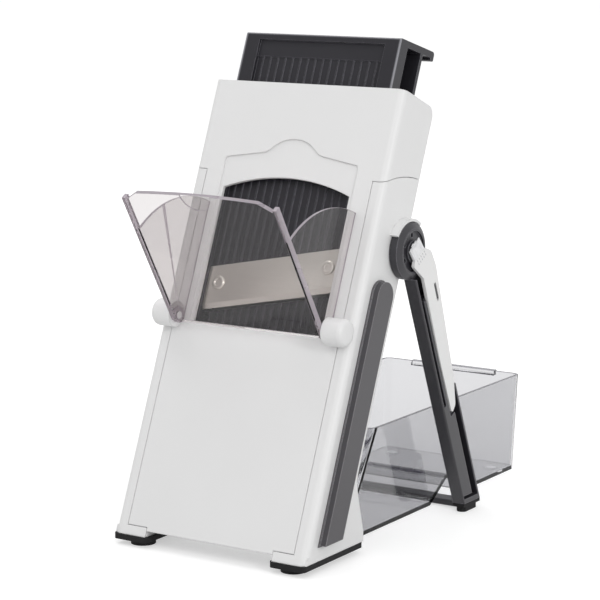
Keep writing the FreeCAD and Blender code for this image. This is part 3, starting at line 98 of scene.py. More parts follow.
# %% [markdown]
# Materials are small networks of nodes. One helper turns a colour as a designer writes it, an
# sRGB hex value, into the linear numbers that light works with. A second adds a node: it sets the
# node's options, fills its inputs, and links an input wherever it is given another node's output.

# %% Colour and node helpers
def linear(hex_colour):
    """sRGB hex value as linear red, green, blue and alpha."""
    channels = []
    for i in (0, 2, 4):
        share = int(hex_colour[i : i + 2], 16) / 255
        channels.append(share / 12.92 if share <= 0.04045 else ((share + 0.055) / 1.055) ** 2.4)
    return (*channels, 1.0)


def add(tree, kind, inputs=None, **settings):
    """New node with its settings, its input values and its links."""
    node = tree.nodes.new(kind)
    for name, value in settings.items():
        setattr(node, name, value)
    for socket, value in (inputs or {}).items():
        if isinstance(value, bpy.types.NodeSocket):
            tree.links.new(value, node.inputs[socket])
        else:
            node.inputs[socket].default_value = value
    return node


def new_material(name):
    """Empty material and its node tree."""
    material = bpy.data.materials.new(name)
    material.use_nodes = True
    material.node_tree.nodes.clear()
    return material, material.node_tree


print("white housing, linear:", [round(c, 3) for c in linear("E3E3E3")[:3]])

# %% [markdown]
# Most of the slicer is moulded plastic, so one function makes that family of finishes. A moulded
# face is never perfectly even: the mould is spark eroded or sand blasted, which leaves a fine
# grain that spreads the highlights, and the gloss drifts a little over a large wall. The grain is
# really about 0.2 mm across; it is drawn coarser here, because a pixel covers 0.6 mm. Sharp
# corners don't exist on mouldings either, so a Bevel node bends the shading at each edge to give
# it the thin highlight of a small radius, without touching the solid. Where the bent normal leaves
# the true one, the surface is at an edge, so the angle between the two mixes in a paler edge tone.
# That tone is partly wear, as hands and cloths rub edges paler on dark plastic, and partly a
# painted highlight that stands in for the gloss along the edges and ribs.

# %% Moulded plastic family
DRIFT_MM = 60
GLOSS_DRIFT = 0.05
GRAIN_STRENGTH = 0.5
WEAR_AND_HIGHLIGHT_STARTS = 0.98
WEAR_AND_HIGHLIGHT_FULL = 0.85
EDGE_SAMPLES = 4


def edge_share(tree, normal, first, full):
    """0 on a flat, up to 1 where a bent normal leaves the true one; first and full are cosines."""
    true_normal = add(tree, "ShaderNodeNewGeometry").outputs["Normal"]
    bend = add(tree, "ShaderNodeVectorMath", {0: normal, 1: true_normal}, operation="DOT_PRODUCT")
    share = add(
        tree,
        "ShaderNodeMapRange",
        {"Value": bend.outputs["Value"], "From Min": first, "From Max": full},
    )
    return share.outputs["Result"]


def moulded_plastic(name, tones, roughness, grain_mm, grain_depth_mm, edge_mm, ior=1.53):
    """Moulded plastic from a light, a dark and an edge tone of wear and painted highlight, with
    fine grain and soft edges.
    """
    light, dark, worn_and_lit_tone = tones
    material, tree = new_material(name)
    place = add(tree, "ShaderNodeTexCoord").outputs["Object"]
    drift = add(
        tree,
        "ShaderNodeTexNoise",
        {"Vector": place, "Scale": 1 / (DRIFT_MM * MM), "Detail": 2.0, "Roughness": 0.4},
    )
    tone = add(
        tree,
        "ShaderNodeMix",
        {"Factor": drift.outputs["Fac"], 6: linear(dark), 7: linear(light)},
        data_type="RGBA",
    )
    gloss = add(
        tree,
        "ShaderNodeMapRange",
        {
            "Value": drift.outputs["Fac"],
            "To Min": roughness - GLOSS_DRIFT,
            "To Max": roughness + GLOSS_DRIFT,
        },
    )
    grain = add(
        tree,
        "ShaderNodeTexNoise",
        {"Vector": place, "Scale": 1 / (grain_mm * MM), "Detail": 1.0},
    )
    edges = add(tree, "ShaderNodeBevel", {"Radius": edge_mm * MM}, samples=EDGE_SAMPLES)
    # The paler edge tone is partly wear and partly a painted highlight along edges and ribs.
    wear_and_highlight = edge_share(tree, edges.outputs["Normal"], WEAR_AND_HIGHLIGHT_STARTS, WEAR_AND_HIGHLIGHT_FULL)
    colour = add(
        tree,
        "ShaderNodeMix",
        {"Factor": wear_and_highlight, 6: tone.outputs[2], 7: linear(worn_and_lit_tone)},
        data_type="RGBA",
    )
    surface = add(
        tree,
        "ShaderNodeBump",
        {
            "Strength": GRAIN_STRENGTH,
            "Distance": grain_depth_mm * MM,
            "Height": grain.outputs["Fac"],
            "Normal": edges.outputs["Normal"],
        },
    )
    shader = add(
        tree,
        "ShaderNodeBsdfPrincipled",
        {
            "Base Color": colour.outputs[2],
            "Roughness": gloss.outputs["Result"],
            "IOR": ior,
            "Normal": surface.outputs["Normal"],
        },
    )
    add(tree, "ShaderNodeOutputMaterial", {"Surface": shader.outputs["BSDF"]})
    return material


# The third tone of each finish is its edge tone: wear and painted highlight.
white_abs = moulded_plastic(
    "white_satin_abs",
    ("E8E8E8", "E3E3E3", "E9E9E9"),
    roughness=0.42,
    grain_mm=0.9,
    grain_depth_mm=0.02,
    edge_mm=0.8,
)
charcoal_abs = moulded_plastic(
    "charcoal_satin_abs",
    ("302F34", "2A292E", "76757C"),
    roughness=0.40,
    grain_mm=0.8,
    grain_depth_mm=0.02,
    edge_mm=0.75,
)
plunger_abs = moulded_plastic(
    "charcoal_plunger_abs",
    ("302F34", "2A292E", "69686F"),
    roughness=0.38,
    grain_mm=0.8,
    grain_depth_mm=0.02,
    edge_mm=0.6,
    ior=1.38,
)
trim_abs = moulded_plastic(
    "charcoal_trim_abs",
    ("434145", "3E3C40", "8E8C90"),
    roughness=0.36,
    grain_mm=0.8,
    grain_depth_mm=0.015,
    edge_mm=0.8,
)
brush_abs = moulded_plastic(
    "white_brush_polypropylene",
    ("EDEDEC", "E6E6E6", "EFEFEE"),
    roughness=0.45,
    grain_mm=0.8,
    grain_depth_mm=0.02,
    edge_mm=0.5,
    ior=1.49,
)
rubber = moulded_plastic(
    "black_foot_rubber",
    ("111113", "0D0D0F", "1C1C1E"),
    roughness=0.72,
    grain_mm=0.7,
    grain_depth_mm=0.05,
    edge_mm=0.4,
    ior=1.4,
)
nylon = moulded_plastic(
    "white_bristle_nylon",
    ("FAFAFB", "F2F2F4", "FAFAFB"),
    roughness=0.5,
    grain_mm=0.5,
    grain_depth_mm=0.01,
    edge_mm=0.1,
    ior=1.53,
)
# The grey of the tuft marks is painted shade, standing for the shade in the staple dimples.
dimple_painted_shade = moulded_plastic(
    "shaded_brush_dimple",
    ("C4C4C8", "BABABE", "C4C4C8"),
    roughness=0.6,
    grain_mm=0.5,
    grain_depth_mm=0.01,
    edge_mm=0.1,
    ior=1.49,
)
print("moulded finishes:", len(bpy.data.materials))

# %% [markdown]
# The front edges of the grip, along its top and down its sides, get a painted highlight: a paler
# tone where gloss would shine on them. An edge is where two bands meet: one along the front face,
# and one along the top or along a side. Where they overlap, the paler tone is mixed in, so the ribs
# on the face stay dark.

# %% Painted highlight on the front edges of the grip
HIGHLIGHT_BAND = 1.5 * MM
FRONT_SKIN = 1.2 * MM


def paint_grip_highlight(material, tone, front, top, half_width):
    """Paint a highlight, a paler tone, into the edges between a front face and the top and sides
    next to it.
    """
    tree = material.node_tree
    place = add(tree, "ShaderNodeTexCoord").outputs["Object"]
    sideways = add(tree, "ShaderNodeSeparateXYZ", {0: place})
    forward = add(tree, "ShaderNodeVectorMath", {0: place, 1: -BACKWARD}, operation="DOT_PRODUCT")
    level = add(tree, "ShaderNodeVectorMath", {0: place, 1: UPWARD}, operation="DOT_PRODUCT")
    aside = add(tree, "ShaderNodeMath", {0: sideways.outputs["X"]}, operation="ABSOLUTE")
    bands = []
    for distance, limit in ((forward, -front), (level, top), (aside, half_width)):
        band = add(
            tree,
            "ShaderNodeMapRange",
            {
                "Value": distance.outputs["Value"],
                "From Min": limit - HIGHLIGHT_BAND,
                "From Max": limit,
            },
            interpolation_type="SMOOTHSTEP",
        )
        bands.append(band.outputs["Result"])
    border = add(tree, "ShaderNodeMath", {0: bands[1], 1: bands[2]}, operation="MAXIMUM")
    share = add(
        tree,
        "ShaderNodeMath",
        {0: bands[0], 1: border.outputs["Value"]},
        operation="MULTIPLY",
    )
    shader = next(node for node in tree.nodes if node.type == "BSDF_PRINCIPLED")
    plain = shader.inputs["Base Color"].links[0].from_socket
    highlighted = add(
        tree,
        "ShaderNodeMix",
        {"Factor": share.outputs["Value"], 6: plain, 7: linear(tone)},
        data_type="RGBA",
    )
    tree.links.new(highlighted.outputs[2], shader.inputs["Base Color"])


plunger_points = [vertex.co for vertex in frame["nodes"]["plunger"].data.vertices]
grip_front = min(point.dot(BACKWARD) for point in plunger_points)
skin_end = grip_front + FRONT_SKIN
front_points = [point for point in plunger_points if point.dot(BACKWARD) < skin_end]
grip_top = max(point.dot(UPWARD) for point in front_points)
grip_half_width = max(point.x for point in front_points)
# 9A9AA0 is the painted highlight tone on the grip's front edges.
paint_grip_highlight(plunger_abs, "9A9AA0", grip_front, grip_top, grip_half_width)
print("grip top and half width in mm:", round(grip_top / MM, 1), round(grip_half_width / MM, 1))

# %% [markdown]
# The blade is stainless strip, rolled and then brushed along its length. Brushing leaves fine
# parallel scratches, so the reflection is drawn out across them. A noise stretched along X stands
# for the scratches: long in one direction, about half a millimetre wide in the other, which is as
# fine as the render can hold.

# %% Brushed blade steel and plated steel
SCRATCH_LENGTH_MM = 40
SCRATCH_DEPTH_MM = 0.01
SCRATCH_STRENGTH = 0.25
SCRATCH_GLOSS = 0.08


def brushed_steel(name, light, dark, roughness, scratch_mm, along):
    """Steel with scratches that run along one axis."""
    material, tree = new_material(name)
    place = add(tree, "ShaderNodeTexCoord").outputs["Object"]
    stretch = [1 / (scratch_mm * MM)] * 3
    stretch[along] = 1 / (SCRATCH_LENGTH_MM * MM)
    lined = add(tree, "ShaderNodeMapping", {"Vector": place, "Scale": stretch})
    scratches = add(
        tree,
        "ShaderNodeTexNoise",
        {"Vector": lined.outputs["Vector"], "Scale": 1.0, "Detail": 3.0},
    )
    tone = add(
        tree,
        "ShaderNodeMix",
        {"Factor": scratches.outputs["Fac"], 6: linear(dark), 7: linear(light)},
        data_type="RGBA",
    )
    gloss = add(
        tree,
        "ShaderNodeMapRange",
        {
            "Value": scratches.outputs["Fac"],
            "To Min": roughness - SCRATCH_GLOSS,
            "To Max": roughness + SCRATCH_GLOSS,
        },
    )
    relief = add(
        tree,
        "ShaderNodeBump",
        {
            "Strength": SCRATCH_STRENGTH,
            "Distance": SCRATCH_DEPTH_MM * MM,
            "Height": scratches.outputs["Fac"],
        },
    )
    shader = add(
        tree,
        "ShaderNodeBsdfPrincipled",
        {
            "Base Color": tone.outputs[2],
            "Metallic": 1.0,
            "Roughness": gloss.outputs["Result"],
            "Normal": relief.outputs["Normal"],
        },
    )
    add(tree, "ShaderNodeOutputMaterial", {"Surface": shader.outputs["BSDF"]})
    return material


blade_steel = brushed_steel("brushed_blade_steel", "EAE6E0", "DAD5CE", 0.34, 0.5, 0)
zinc_steel = brushed_steel("bright_zinc_plate", "C3C5C8", "B2B4B7", 0.36, 0.8, 2)
print("steel finishes:", blade_steel.name, zinc_steel.name)

# %% [markdown]
# The chute and the bin are clear plastic with a little smoke in it. Through a wall of two or
# three millimetres the tint is slight, but at an edge the light has travelled the whole width of
# the wall, so the edges turn milky and deeper in tone: that is what draws the shapes of clear
# mouldings. The walls are glass that refracts, with the smoke in its base colour. The narrow edge
# faces get a finish of their own, part clear and part cloudy, because a path tracer that follows
# light along a wall would give up and show a black line. Shadow rays go straight through, dimmed
# a little, or else clear plastic would cast a black shadow.

# %% Clear smoky plastic
RIPPLE_MM = 25
MIRROR_TINT = (0.15, 0.15, 0.15, 1.0)


def clear_plastic(name, tint, clearness, roughness, shadow, ior=1.49):
    """Clear or part cloudy moulding, with a gloss that drifts a little."""
    material, tree = new_material(name)
    place = add(tree, "ShaderNodeTexCoord").outputs["Object"]
    ripple = add(
        tree,
        "ShaderNodeTexNoise",
        {"Vector": place, "Scale": 1 / (RIPPLE_MM * MM), "Detail": 1.0},
    )
    gloss = add(
        tree,
        "ShaderNodeMapRange",
        {"Value": ripple.outputs["Fac"], "To Min": roughness * 0.5, "To Max": roughness * 1.5},
    )
    shader = add(
        tree,
        "ShaderNodeBsdfPrincipled",
        {
            "Base Color": linear(tint),
            "Roughness": gloss.outputs["Result"],
            "IOR": ior,
            "Transmission Weight": clearness,
            "Specular Tint": MIRROR_TINT,
        },
    )
    passing = add(tree, "ShaderNodeBsdfTransparent", {"Color": linear(shadow)})
    rays = add(tree, "ShaderNodeLightPath")
    surface = add(
        tree,
        "ShaderNodeMixShader",
        {0: rays.outputs["Is Shadow Ray"], 1: shader.outputs["BSDF"], 2: passing.outputs["BSDF"]},
    )
    add(tree, "ShaderNodeOutputMaterial", {"Surface": surface.outputs["Shader"]})
    return material


smoky_clear = clear_plastic("smoky_clear_plastic", "DFDCDC", 1.0, 0.02, "F2F0F1", 1.4)
smoky_edge = clear_plastic("smoky_clear_plastic_edge", "BFB6BE", 0.35, 0.3, "F2F0F1")
grey_clear = clear_plastic("pale_grey_clear_plastic", "D2D2D4", 1.0, 0.02, "EEEEF0")
grey_edge = clear_plastic("pale_grey_clear_plastic_edge", "5E5C68", 0.4, 0.25, "EEEEF0")
print("clear finishes:", smoky_clear.name, grey_clear.name)

# %% [markdown]
# Every solid of the construction model now gets its finish. The names on the left are the model's
# own material slots, so no piece can be forgotten.

# %% Dress the solids
FINISHES = {
    "white_abs": white_abs,
    "charcoal_abs": charcoal_abs,
    "charcoal_trim": trim_abs,
    "black_rubber": rubber,
    "blade_steel": blade_steel,
    "zinc_steel": zinc_steel,
    "smoky_clear": smoky_clear,
    "grey_clear": grey_clear,
    "brush_white": brush_abs,
    "bristle_white": nylon,
}
for subpart in frame["record"]["subparts"]:
    solid = frame["nodes"][subpart["node"]]
    solid.data.materials.clear()
    solid.data.materials.append(FINISHES[subpart["material_slot"]])
for node in ("plunger", "lower_plate"):
    frame["nodes"][node].data.materials[0] = plunger_abs

# %% [markdown]
# Some pieces need finer forms than the construction model carries. Each of them is modelled here
# from the solid it stands for: the helper below splits a construction piece into its separate
# solids and hands back their corner points, so every detail sits exactly in its place. A finished
# piece is shaded smooth, with its sharp edges kept sharp.

# %% Helpers for the detail pieces
SMOOTH_BELOW = 150 * MM * MM
SHARP_FROM = math.radians(38)


def solids_of(node):
    """Corner points of each separate solid in a construction piece."""
    bm = bmesh.new()
    bm.from_mesh(frame["nodes"][node].data)
    bm.transform(frame["nodes"][node].matrix_world)
    bmesh.ops.remove_doubles(bm, verts=bm.verts, dist=MERGE_DISTANCE)
    waiting = set(bm.verts)
    solids = []
    while waiting:
        reached = [waiting.pop()]
        for vert in reached:
            neighbours = {edge.other_vert(vert) for edge in vert.link_edges} & waiting
            waiting -= neighbours
            reached.extend(neighbours)
        solids.append([vert.co.copy() for vert in reached])
    bm.free()
    return solids


def finish_piece(name, bm, material, body, node=None):
    """Object from a mesh, with wide faces flat and small ones smooth, riding on a body if named."""
    bmesh.ops.recalc_face_normals(bm, faces=bm.faces)
    for face in bm.faces:
        face.smooth = face.calc_area() < SMOOTH_BELOW
    for edge in bm.edges:
        edge.smooth = edge.calc_face_angle(0.0) < SHARP_FROM
    mesh = bpy.data.meshes.new(name)
    bm.to_mesh(mesh)
    bm.free()
    mesh.materials.append(material)
    piece = bpy.data.objects.new(name, mesh)
    bpy.context.scene.collection.objects.link(piece)
    if body:
        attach(piece, body)
    if node:
        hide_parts(node)
    print(name, "has", len(mesh.polygons), "faces")
    return piece


# %% [markdown]
# Screws, rivets and pins are turned parts, so each is a half profile spun round its own axis. The
# construction solid gives the numbers: the length and radius of the shank, and the radius and
# height of the head. A screw also gets the cross recess for the driver, sunk into the flat of its
# head.

# %% Turned fasteners
SPIN_STEPS = 32
RIM_SHARE = 0.97
END_SKIN = 0.1 * MM
POINT_SHARE = 0.2
RECESS_REACH = 0.85
RECESS_HALF = 0.2
RECESS_DEPTH = 0.6


def measure_pin(points, axis):
    """Place on the axis, shank radius, head radius and the three levels of a headed pin."""
    centre = sum(points, Vector()) / len(points)
    foot = centre - axis * centre.dot(axis)
    levels = [point.dot(axis) for point in points]
    radii = [(point - axis * point.dot(axis) - foot).length for point in points]
    head = max(radii)
    seat = min(level for level, radius in zip(levels, radii) if radius > RIM_SHARE * head)
    low = min(levels)
    shank = max(radius for level, radius in zip(levels, radii) if level < low + END_SKIN)
    return foot, shank, head, low, seat, max(levels)


def cross_corners(reach, half):
    """Twelve corners of a cross, in order."""
    corners = []
    for turn in range(4):
        for x, y in ((half, half), (half, reach), (-half, reach)):
            for _ in range(turn):
                x, y = -y, x
            corners.append((x, y))
    return corners


def sink_cross(bm, rim, foot, level, across, beside, axis, reach, half, depth):
    """Close the top of a head with a flat that has a cross sunk in it."""
    top = []
    floor = []
    for x, y in cross_corners(reach, half):
        spot = foot + across * x + beside * y
        top.append(bm.verts.new(spot + axis * level))
        floor.append(bm.verts.new(spot + axis * (level - depth)))
    outline = [bm.edges.new((a, b)) for a, b in zip(top, top[1:] + top[:1])]
    bmesh.ops.triangle_fill(bm, edges=rim + outline, use_beauty=True, normal=axis)
    for i in range(len(top)):
        after = (i + 1) % len(top)
        bm.faces.new((top[i], top[after], floor[after], floor[i]))
    bm.faces.new(floor)


def turned_pieces(node, body, slot, outward, crown):
    """Spin each headed pin of a piece; the crown gives radius and height as shares of its head."""
    bm = bmesh.new()
    for points in solids_of(node):
        axis = outward(points)
        foot, shank, head, low, seat, high = measure_pin(points, axis)
        across = axis.orthogonal().normalized()
        point = shank * POINT_SHARE
        profile = [(0.0, low), (shank - point, low), (shank, low + point)]
        profile += [(shank, seat), (head, seat)]
        profile += [(head * r, seat + (high - seat) * h) for r, h in crown]
        chain = [bm.verts.new(foot + across * r + axis * level) for r, level in profile]
        edges = [bm.edges.new(pair) for pair in zip(chain, chain[1:])]
        bmesh.ops.spin(
            bm,
            geom=chain + edges,
            cent=foot,
            axis=axis,
            angle=math.tau,
            steps=SPIN_STEPS,
            use_merge=True,
        )
        bmesh.ops.remove_doubles(bm, verts=bm.verts, dist=MERGE_DISTANCE)
        rim = [edge for edge in bm.edges if edge.is_boundary]
        if rim:
            beside = axis.cross(across)
            flat = crown[-1][0] * head
            reach = flat * RECESS_REACH
            half = flat * RECESS_HALF
            depth = (high - seat) * RECESS_DEPTH
            sink_cross(bm, rim, foot, high, across, beside, axis, reach, half, depth)
    finish_piece(node + "_turned", bm, FINISHES[slot], body, node)


PAN_HEAD = [(1.0, 0.45), (0.94, 0.78), (0.82, 0.95), (0.7, 1.0)]
RIVET_HEAD = [(1.0, 0.25), (0.93, 0.7), (0.8, 1.0), (0.55, 1.0), (0.47, 0.55), (0.0, 0.5)]
PIN_HEAD = [(1.0, 0.55), (0.97, 0.85), (0.9, 1.0), (0.35, 1.0), (0.28, 0.7), (0.0, 0.7)]


def to_the_back(points):
    """Heads on the back of the leaning housing."""
    return BACKWARD


def to_the_front(points):
    """Heads on the front of the leaning housing."""
    return -BACKWARD


def to_the_outside(points):
    """Heads on the outer side, left or right."""
    return Vector((math.copysign(1.0, points[0].x), 0.0, 0.0))


def to_the_inside(points):
    """Heads that face the middle of the slicer."""
    return -to_the_outside(points)


turned_pieces("blade_rivets", "plunger_carriage", "blade_steel", to_the_front, RIVET_HEAD)
turned_pieces("leg_pivot_left", "housing", "charcoal_abs", to_the_outside, PIN_HEAD)
turned_pieces("leg_pivot_right", "housing", "charcoal_abs", to_the_outside, PIN_HEAD)
turned_pieces("housing_screws", "housing", "zinc_steel", to_the_back, PAN_HEAD)
turned_pieces("crossbar_screws", "rear_legs", "zinc_steel", to_the_inside, PAN_HEAD)

# %% [markdown]
# Two compression springs sit on rods behind the plunger and push it up. Spring wire is coiled on
# a mandrel, with a closed turn at each end so that it stands square. A small circle, spun round
# the rod while it rises a little at each step, makes such a coil: slowly for the closed turns,
# faster for the open ones. The coil runs from the spring's seat in the housing up to the
# plunger's tab.

# %% Return springs
COIL_RADIUS = 2.9 * MM
WIRE_RADIUS = 0.45 * MM
OPEN_TURNS = 6
TURN_STEPS = 20
WIRE_SIDES = 8
CLOSED_PITCH = 2.1


def coil_spring(node, rod):
    """Round wire coil in the place of a spring, between its seat and the plunger's tab."""
    levels = [point.dot(UPWARD) for point in solids_of(node)[0]]
    rod_points = solids_of(rod)[0]
    middle = sum(rod_points, Vector()) / len(rod_points)
    foot = middle - UPWARD * middle.dot(UPWARD)
    across = UPWARD.orthogonal().normalized()
    beside = UPWARD.cross(across)
    low = min(levels) + WIRE_RADIUS
    high = max(levels) - WIRE_RADIUS
    closed_rise = CLOSED_PITCH * WIRE_RADIUS
    open_rise = (high - low - 2 * closed_rise) / OPEN_TURNS
    bm = bmesh.new()
    upright = Matrix((across, UPWARD, beside)).transposed().to_4x4()
    start = Matrix.Translation(foot + across * COIL_RADIUS + UPWARD * low) @ upright
    ring = bmesh.ops.create_circle(
        bm, cap_ends=False, segments=WIRE_SIDES, radius=WIRE_RADIUS, matrix=start
    )
    ends = ring["verts"] + bm.edges[:]
    for turns, rise in ((1, closed_rise), (OPEN_TURNS, open_rise), (1, closed_rise)):
        coil = bmesh.ops.spin(
            bm,
            geom=ends,
            cent=foot,
            axis=UPWARD,
            dvec=UPWARD * (rise / TURN_STEPS),
            angle=math.tau * turns,
            steps=TURN_STEPS * turns,
        )
        ends = coil["geom_last"]
    bmesh.ops.holes_fill(bm, edges=[edge for edge in bm.edges if edge.is_boundary], sides=0)
    spring = finish_piece(node + "_coil", bm, zinc_steel, None, node)
    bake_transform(spring)


coil_spring("return_spring_left", "spring_rod_left")
coil_spring("return_spring_right", "spring_rod_right")

# %% [markdown]
# The brush has nylon tufts: bundles of thin filaments, set in rows in the head and cut a little
# unevenly. The construction block gives eight corners, four on the head and four at the tips;
# every filament runs from a place on the first four to a place on the other four, so the tufts
# fan out as the block does. The seed is fixed, so the brush comes out the same each time.

# %% Bristle tufts
TUFT_COLUMNS = 9
TUFT_ROWS = 3
FILAMENTS = 12
FILAMENT_RADIUS = 0.24 * MM
FILAMENT_SIDES = 5
TIP_SHARE = 0.6
CUT_RANGE = (0.76, 0.97)
FAN_LIMITS = (0.03, 0.97)

handle_points = solids_of("brush_handle")[0]
handle_middle = sum(handle_points, Vector()) / len(handle_points)
block = sorted(solids_of("brush_bristles")[0], key=lambda p: (p - handle_middle).length)


def corner_grid(points):
    """Front and back pairs of four corners, each pair from the inner face to the outer."""
    points = sorted(points, key=lambda p: p.y)
    return [sorted(pair, key=lambda p: p.x) for pair in (points[:2], points[2:])]


def on_grid(grid, u, w):
    """Point at share u from front to back and w from inner to outer."""
    front = grid[0][0].lerp(grid[0][1], w)
    back = grid[1][0].lerp(grid[1][1], w)
    return front.lerp(back, u)


roots = corner_grid(block[:4])
tips = corner_grid(block[4:])
chance = random.Random(7)
bm = bmesh.new()
for column in range(TUFT_COLUMNS):
    for row in range(TUFT_ROWS):
        cut = chance.uniform(*CUT_RANGE)
        for _ in range(FILAMENTS):
            u = (column + 0.5 + chance.uniform(-0.3, 0.3)) / TUFT_COLUMNS
            w = (row + 0.5 + chance.uniform(-0.25, 0.25)) / TUFT_ROWS
            spread = min(max(u + chance.uniform(-0.05, 0.05), FAN_LIMITS[0]), FAN_LIMITS[1])
            root = on_grid(roots, u, w)
            tip = root.lerp(on_grid(tips, spread, w), cut + chance.uniform(-0.04, 0.02))
            along = tip - root
            turn = along.to_track_quat("Z", "Y").to_matrix().to_4x4()
            bmesh.ops.create_cone(
                bm,
                cap_ends=True,
                segments=FILAMENT_SIDES,
                radius1=FILAMENT_RADIUS,
                radius2=FILAMENT_RADIUS * TIP_SHARE,
                depth=along.length,
                matrix=Matrix.Translation((root + tip) / 2) @ turn,
            )
finish_piece("bristle_tufts", bm, nylon, "cleaning_brush", "brush_bristles")

# %% [markdown]
# On the outer face of the head, short grey dashes show where the tufts are stapled in. Their grey
# is painted shade, the shade that sits in the staple dimples. Each is a thin flat, longer along
# the bristles than across, that lies just proud of the head.

# %% Tuft marks, painted shade of the staple dimples
MARK_ROWS = 2
MARK_COLUMNS = 5
MARK_HALF_WIDTH = 0.35 * MM
MARK_HALF_LENGTH = 0.9 * MM
MARK_FIRST_ROW = 1.3 * MM
MARK_ROW_STEP = 2.4 * MM
MARK_FIRST_COLUMN = 0.14
MARK_COLUMN_STEP = 0.18
MARK_LIFT = 0.204 * MM

outward = (roots[0][1] - roots[0][0]).normalized()
down = (on_grid(roots, 0.5, 1.0) - on_grid(tips, 0.5, 1.0)).normalized()
beside = down.cross(outward)
facing = Matrix((beside, down, outward)).transposed().to_4x4()
dash = Matrix.Diagonal((MARK_HALF_WIDTH, MARK_HALF_LENGTH, 1.0, 1.0))
bm = bmesh.new()
for row in range(MARK_ROWS):
    for column in range(MARK_COLUMNS):
        spot = on_grid(roots, MARK_FIRST_COLUMN + MARK_COLUMN_STEP * column, 1.0)
        spot += down * (MARK_FIRST_ROW + MARK_ROW_STEP * row) + outward * MARK_LIFT
        place = Matrix.Translation(spot) @ facing @ dash
        bmesh.ops.create_circle(bm, cap_ends=True, segments=12, radius=1.0, matrix=place)
finish_piece("tuft_dimples", bm, dimple_painted_shade, "cleaning_brush")

# %% [markdown]
# The clear mouldings need real rounded edges: glass-like plastic bends light at its edges, and a
# sharp edge would only show as a dark line. Each is copied from its solid, its flat faces are
# joined up again from their triangles, and every sharp edge gets a small bevel. A narrow face is
# an edge of the wall, and gets the cloudy edge finish, unless it looks too far down to catch the
# light.

# %% Rounded edges on the clear mouldings
FLAT_BELOW = math.radians(1.0)
ROUNDED_FROM = math.radians(40)
BEVEL_SEGMENTS = 3


def softened(node, body, slot, edge_finish, radius_mm, edge_width_mm, lowest):
    """Copy of a solid with rounded edges, and cloudy edge faces that look up at least so far."""
    bm = bmesh.new()
    bm.from_mesh(frame["nodes"][node].data)
    bm.transform(frame["nodes"][node].matrix_world)
    bmesh.ops.remove_doubles(bm, verts=bm.verts, dist=MERGE_DISTANCE)
    bmesh.ops.dissolve_limit(bm, angle_limit=FLAT_BELOW, verts=bm.verts, edges=bm.edges)
    sharp = [edge for edge in bm.edges if edge.calc_face_angle(0.0) > ROUNDED_FROM]
    bmesh.ops.bevel(
        bm,
        geom=sharp,
        offset=radius_mm * MM,
        offset_type="OFFSET",
        affect="EDGES",
        segments=BEVEL_SEGMENTS,
        profile=0.5,
        material=-1,
        clamp_overlap=True,
    )
    for face in bm.faces:
        width = 2 * face.calc_area() / face.calc_perimeter()
        face.material_index = int(width < edge_width_mm * MM and face.normal.z > lowest)
    piece = finish_piece(node + "_softened", bm, FINISHES[slot], body, node)
    piece.data.materials.append(edge_finish)


softened("chute", "feed_chute", "smoky_clear", smoky_edge, 0.5, 4.2, -0.5)
softened("bin", "catch_bin", "grey_clear", grey_edge, 0.2, 2.3, 0.7)

# %% [markdown]
# The studio is a pale floor under an even white sky. The sky lights the slicer softly from all
# sides. In reflections it is dimmer on one side, as a studio wall would be, which gives gloss and
# steel some contrast. Otherwise, what the camera sees directly, or in a reflection, or through
# the clear plastic, is plain white. The floor adds a little glow of its own for those rays, so
# that it blends into the white behind while it keeps the soft shadow under the feet. The glow is
# a little weaker near the slicer, which paints a faint shade on the floor around it.

# %% Sky and floor
SKY_LIGHT = 0.77
DARK_SIDE = Vector((-0.53, -0.71, 0.46))
DARK_SIDE_LEVEL = 0.5
GLOW_NEAR_PAINTED_SHADE = 0.5
GLOW_FAR = 0.54
GLOW_STARTS = 0.15
GLOW_ENDS = 0.45
DARK_SIDE_STARTS = 0.55
FLOOR_SIZE = 14.0


def seen_directly(tree):
    """1 for rays that show the surroundings, by eye, in gloss or through clear plastic."""
    rays = add(tree, "ShaderNodeLightPath")
    by_eye = add(
        tree,
        "ShaderNodeMath",
        {0: rays.outputs["Is Camera Ray"], 1: rays.outputs["Is Glossy Ray"]},
        operation="MAXIMUM",
    )
    either = add(
        tree,
        "ShaderNodeMath",
        {0: by_eye.outputs["Value"], 1: rays.outputs["Is Transmission Ray"]},
        operation="MAXIMUM",
    )
    return either.outputs["Value"]


sky = bpy.data.worlds.new("white_studio")
sky.use_nodes = True
tree = sky.node_tree
tree.nodes.clear()
heading = add(tree, "ShaderNodeTexCoord").outputs["Generated"]
facing = add(
    tree,
    "ShaderNodeVectorMath",
    {0: heading, 1: DARK_SIDE.normalized()},
    operation="DOT_PRODUCT",
)
mirror_level = add(
    tree,
    "ShaderNodeMapRange",
    {
        "Value": facing.outputs["Value"],
        "From Min": DARK_SIDE_STARTS,
        "To Min": 1.0,
        "To Max": DARK_SIDE_LEVEL,
    },
    interpolation_type="SMOOTHSTEP",
)
glossy = add(tree, "ShaderNodeLightPath").outputs["Is Glossy Ray"]
shown = add(tree, "ShaderNodeMix", {0: glossy, 2: 1.0, 3: mirror_level.outputs["Result"]})
level = add(tree, "ShaderNodeMix", {0: seen_directly(tree), 2: SKY_LIGHT, 3: shown.outputs[0]})
glow = add(
    tree,
    "ShaderNodeBackground",
    {"Color": (1.0, 1.0, 1.0, 1.0), "Strength": level.outputs[0]},
)
add(tree, "ShaderNodeOutputWorld", {"Surface": glow.outputs["Background"]})
bpy.context.scene.world = sky

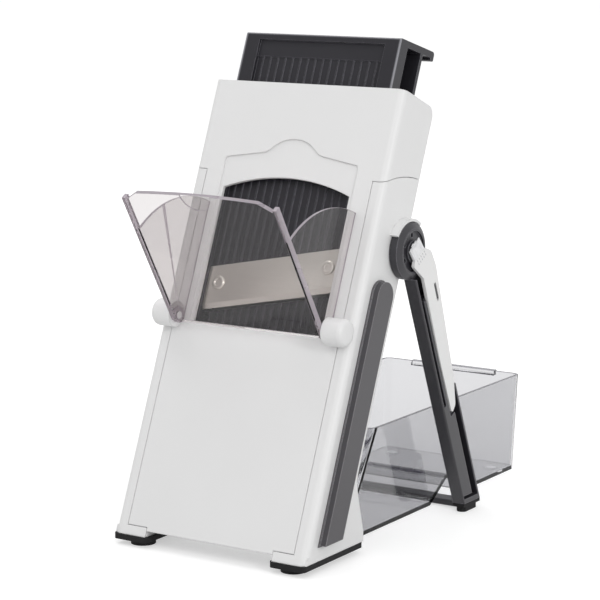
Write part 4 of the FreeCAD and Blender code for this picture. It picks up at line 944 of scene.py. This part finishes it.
floor_paint, tree = new_material("pale_studio_floor")
matt = add(tree, "ShaderNodeBsdfDiffuse", {"Color": linear("D0D0D0")})
place = add(tree, "ShaderNodeTexCoord").outputs["Object"]
distance = add(tree, "ShaderNodeVectorMath", {0: place}, operation="LENGTH")
# Weaker glow near the slicer, out to GLOW_ENDS, is a painted shade on the floor around it.
spread = add(
    tree,
    "ShaderNodeMapRange",
    {
        "Value": distance.outputs["Value"],
        "From Min": GLOW_STARTS,
        "From Max": GLOW_ENDS,
        "To Min": GLOW_NEAR_PAINTED_SHADE,
        "To Max": GLOW_FAR,
    },
    interpolation_type="SMOOTHSTEP",
)
lift = add(
    tree,
    "ShaderNodeMath",
    {0: seen_directly(tree), 1: spread.outputs["Result"]},
    operation="MULTIPLY",
)
shine = add(tree, "ShaderNodeEmission", {"Strength": lift.outputs["Value"]})
both = add(tree, "ShaderNodeAddShader", {0: matt.outputs["BSDF"], 1: shine.outputs["Emission"]})
add(tree, "ShaderNodeOutputMaterial", {"Surface": both.outputs["Shader"]})

bm = bmesh.new()
bmesh.ops.create_grid(bm, x_segments=1, y_segments=1, size=FLOOR_SIZE)
floor_mesh = bpy.data.meshes.new("studio_floor")
bm.to_mesh(floor_mesh)
bm.free()
floor = bpy.data.objects.new("studio_floor", floor_mesh)
floor.data.materials.append(floor_paint)
bpy.context.scene.collection.objects.link(floor)
print("floor and sky are set")

# %% [markdown]
# Four lamps give the even light of the sky some direction, as softboxes do in a studio. One on
# the right models the side of the hood, one in front fills the dark plastic, one above and to the
# left draws the thin highlights along top edges and ribs, and one behind lights the back and the
# bin.

# %% Lamps
def soft_lamp(name, place, aim, width, power):
    """Large square lamp that points at a place."""
    data = bpy.data.lights.new(name, "AREA")
    data.energy = power
    data.size = width
    lamp = bpy.data.objects.new(name, data)
    lamp.location = place
    lamp.rotation_euler = (Vector(aim) - Vector(place)).to_track_quat("-Z", "Y").to_euler()
    bpy.context.scene.collection.objects.link(lamp)


MIDDLE = (0.0, 0.0, 0.14)
soft_lamp("side_lamp", (1.5, -0.76, 0.77), MIDDLE, 0.35, 6.0)
soft_lamp("front_lamp", (0.2, -1.7, 1.4), MIDDLE, 1.0, 4.0)
soft_lamp("top_lamp", (-0.95, -0.07, 1.8), MIDDLE, 0.6, 5.0)
soft_lamp("back_lamp", (-0.6, 1.8, 1.3), MIDDLE, 1.0, 6.0)
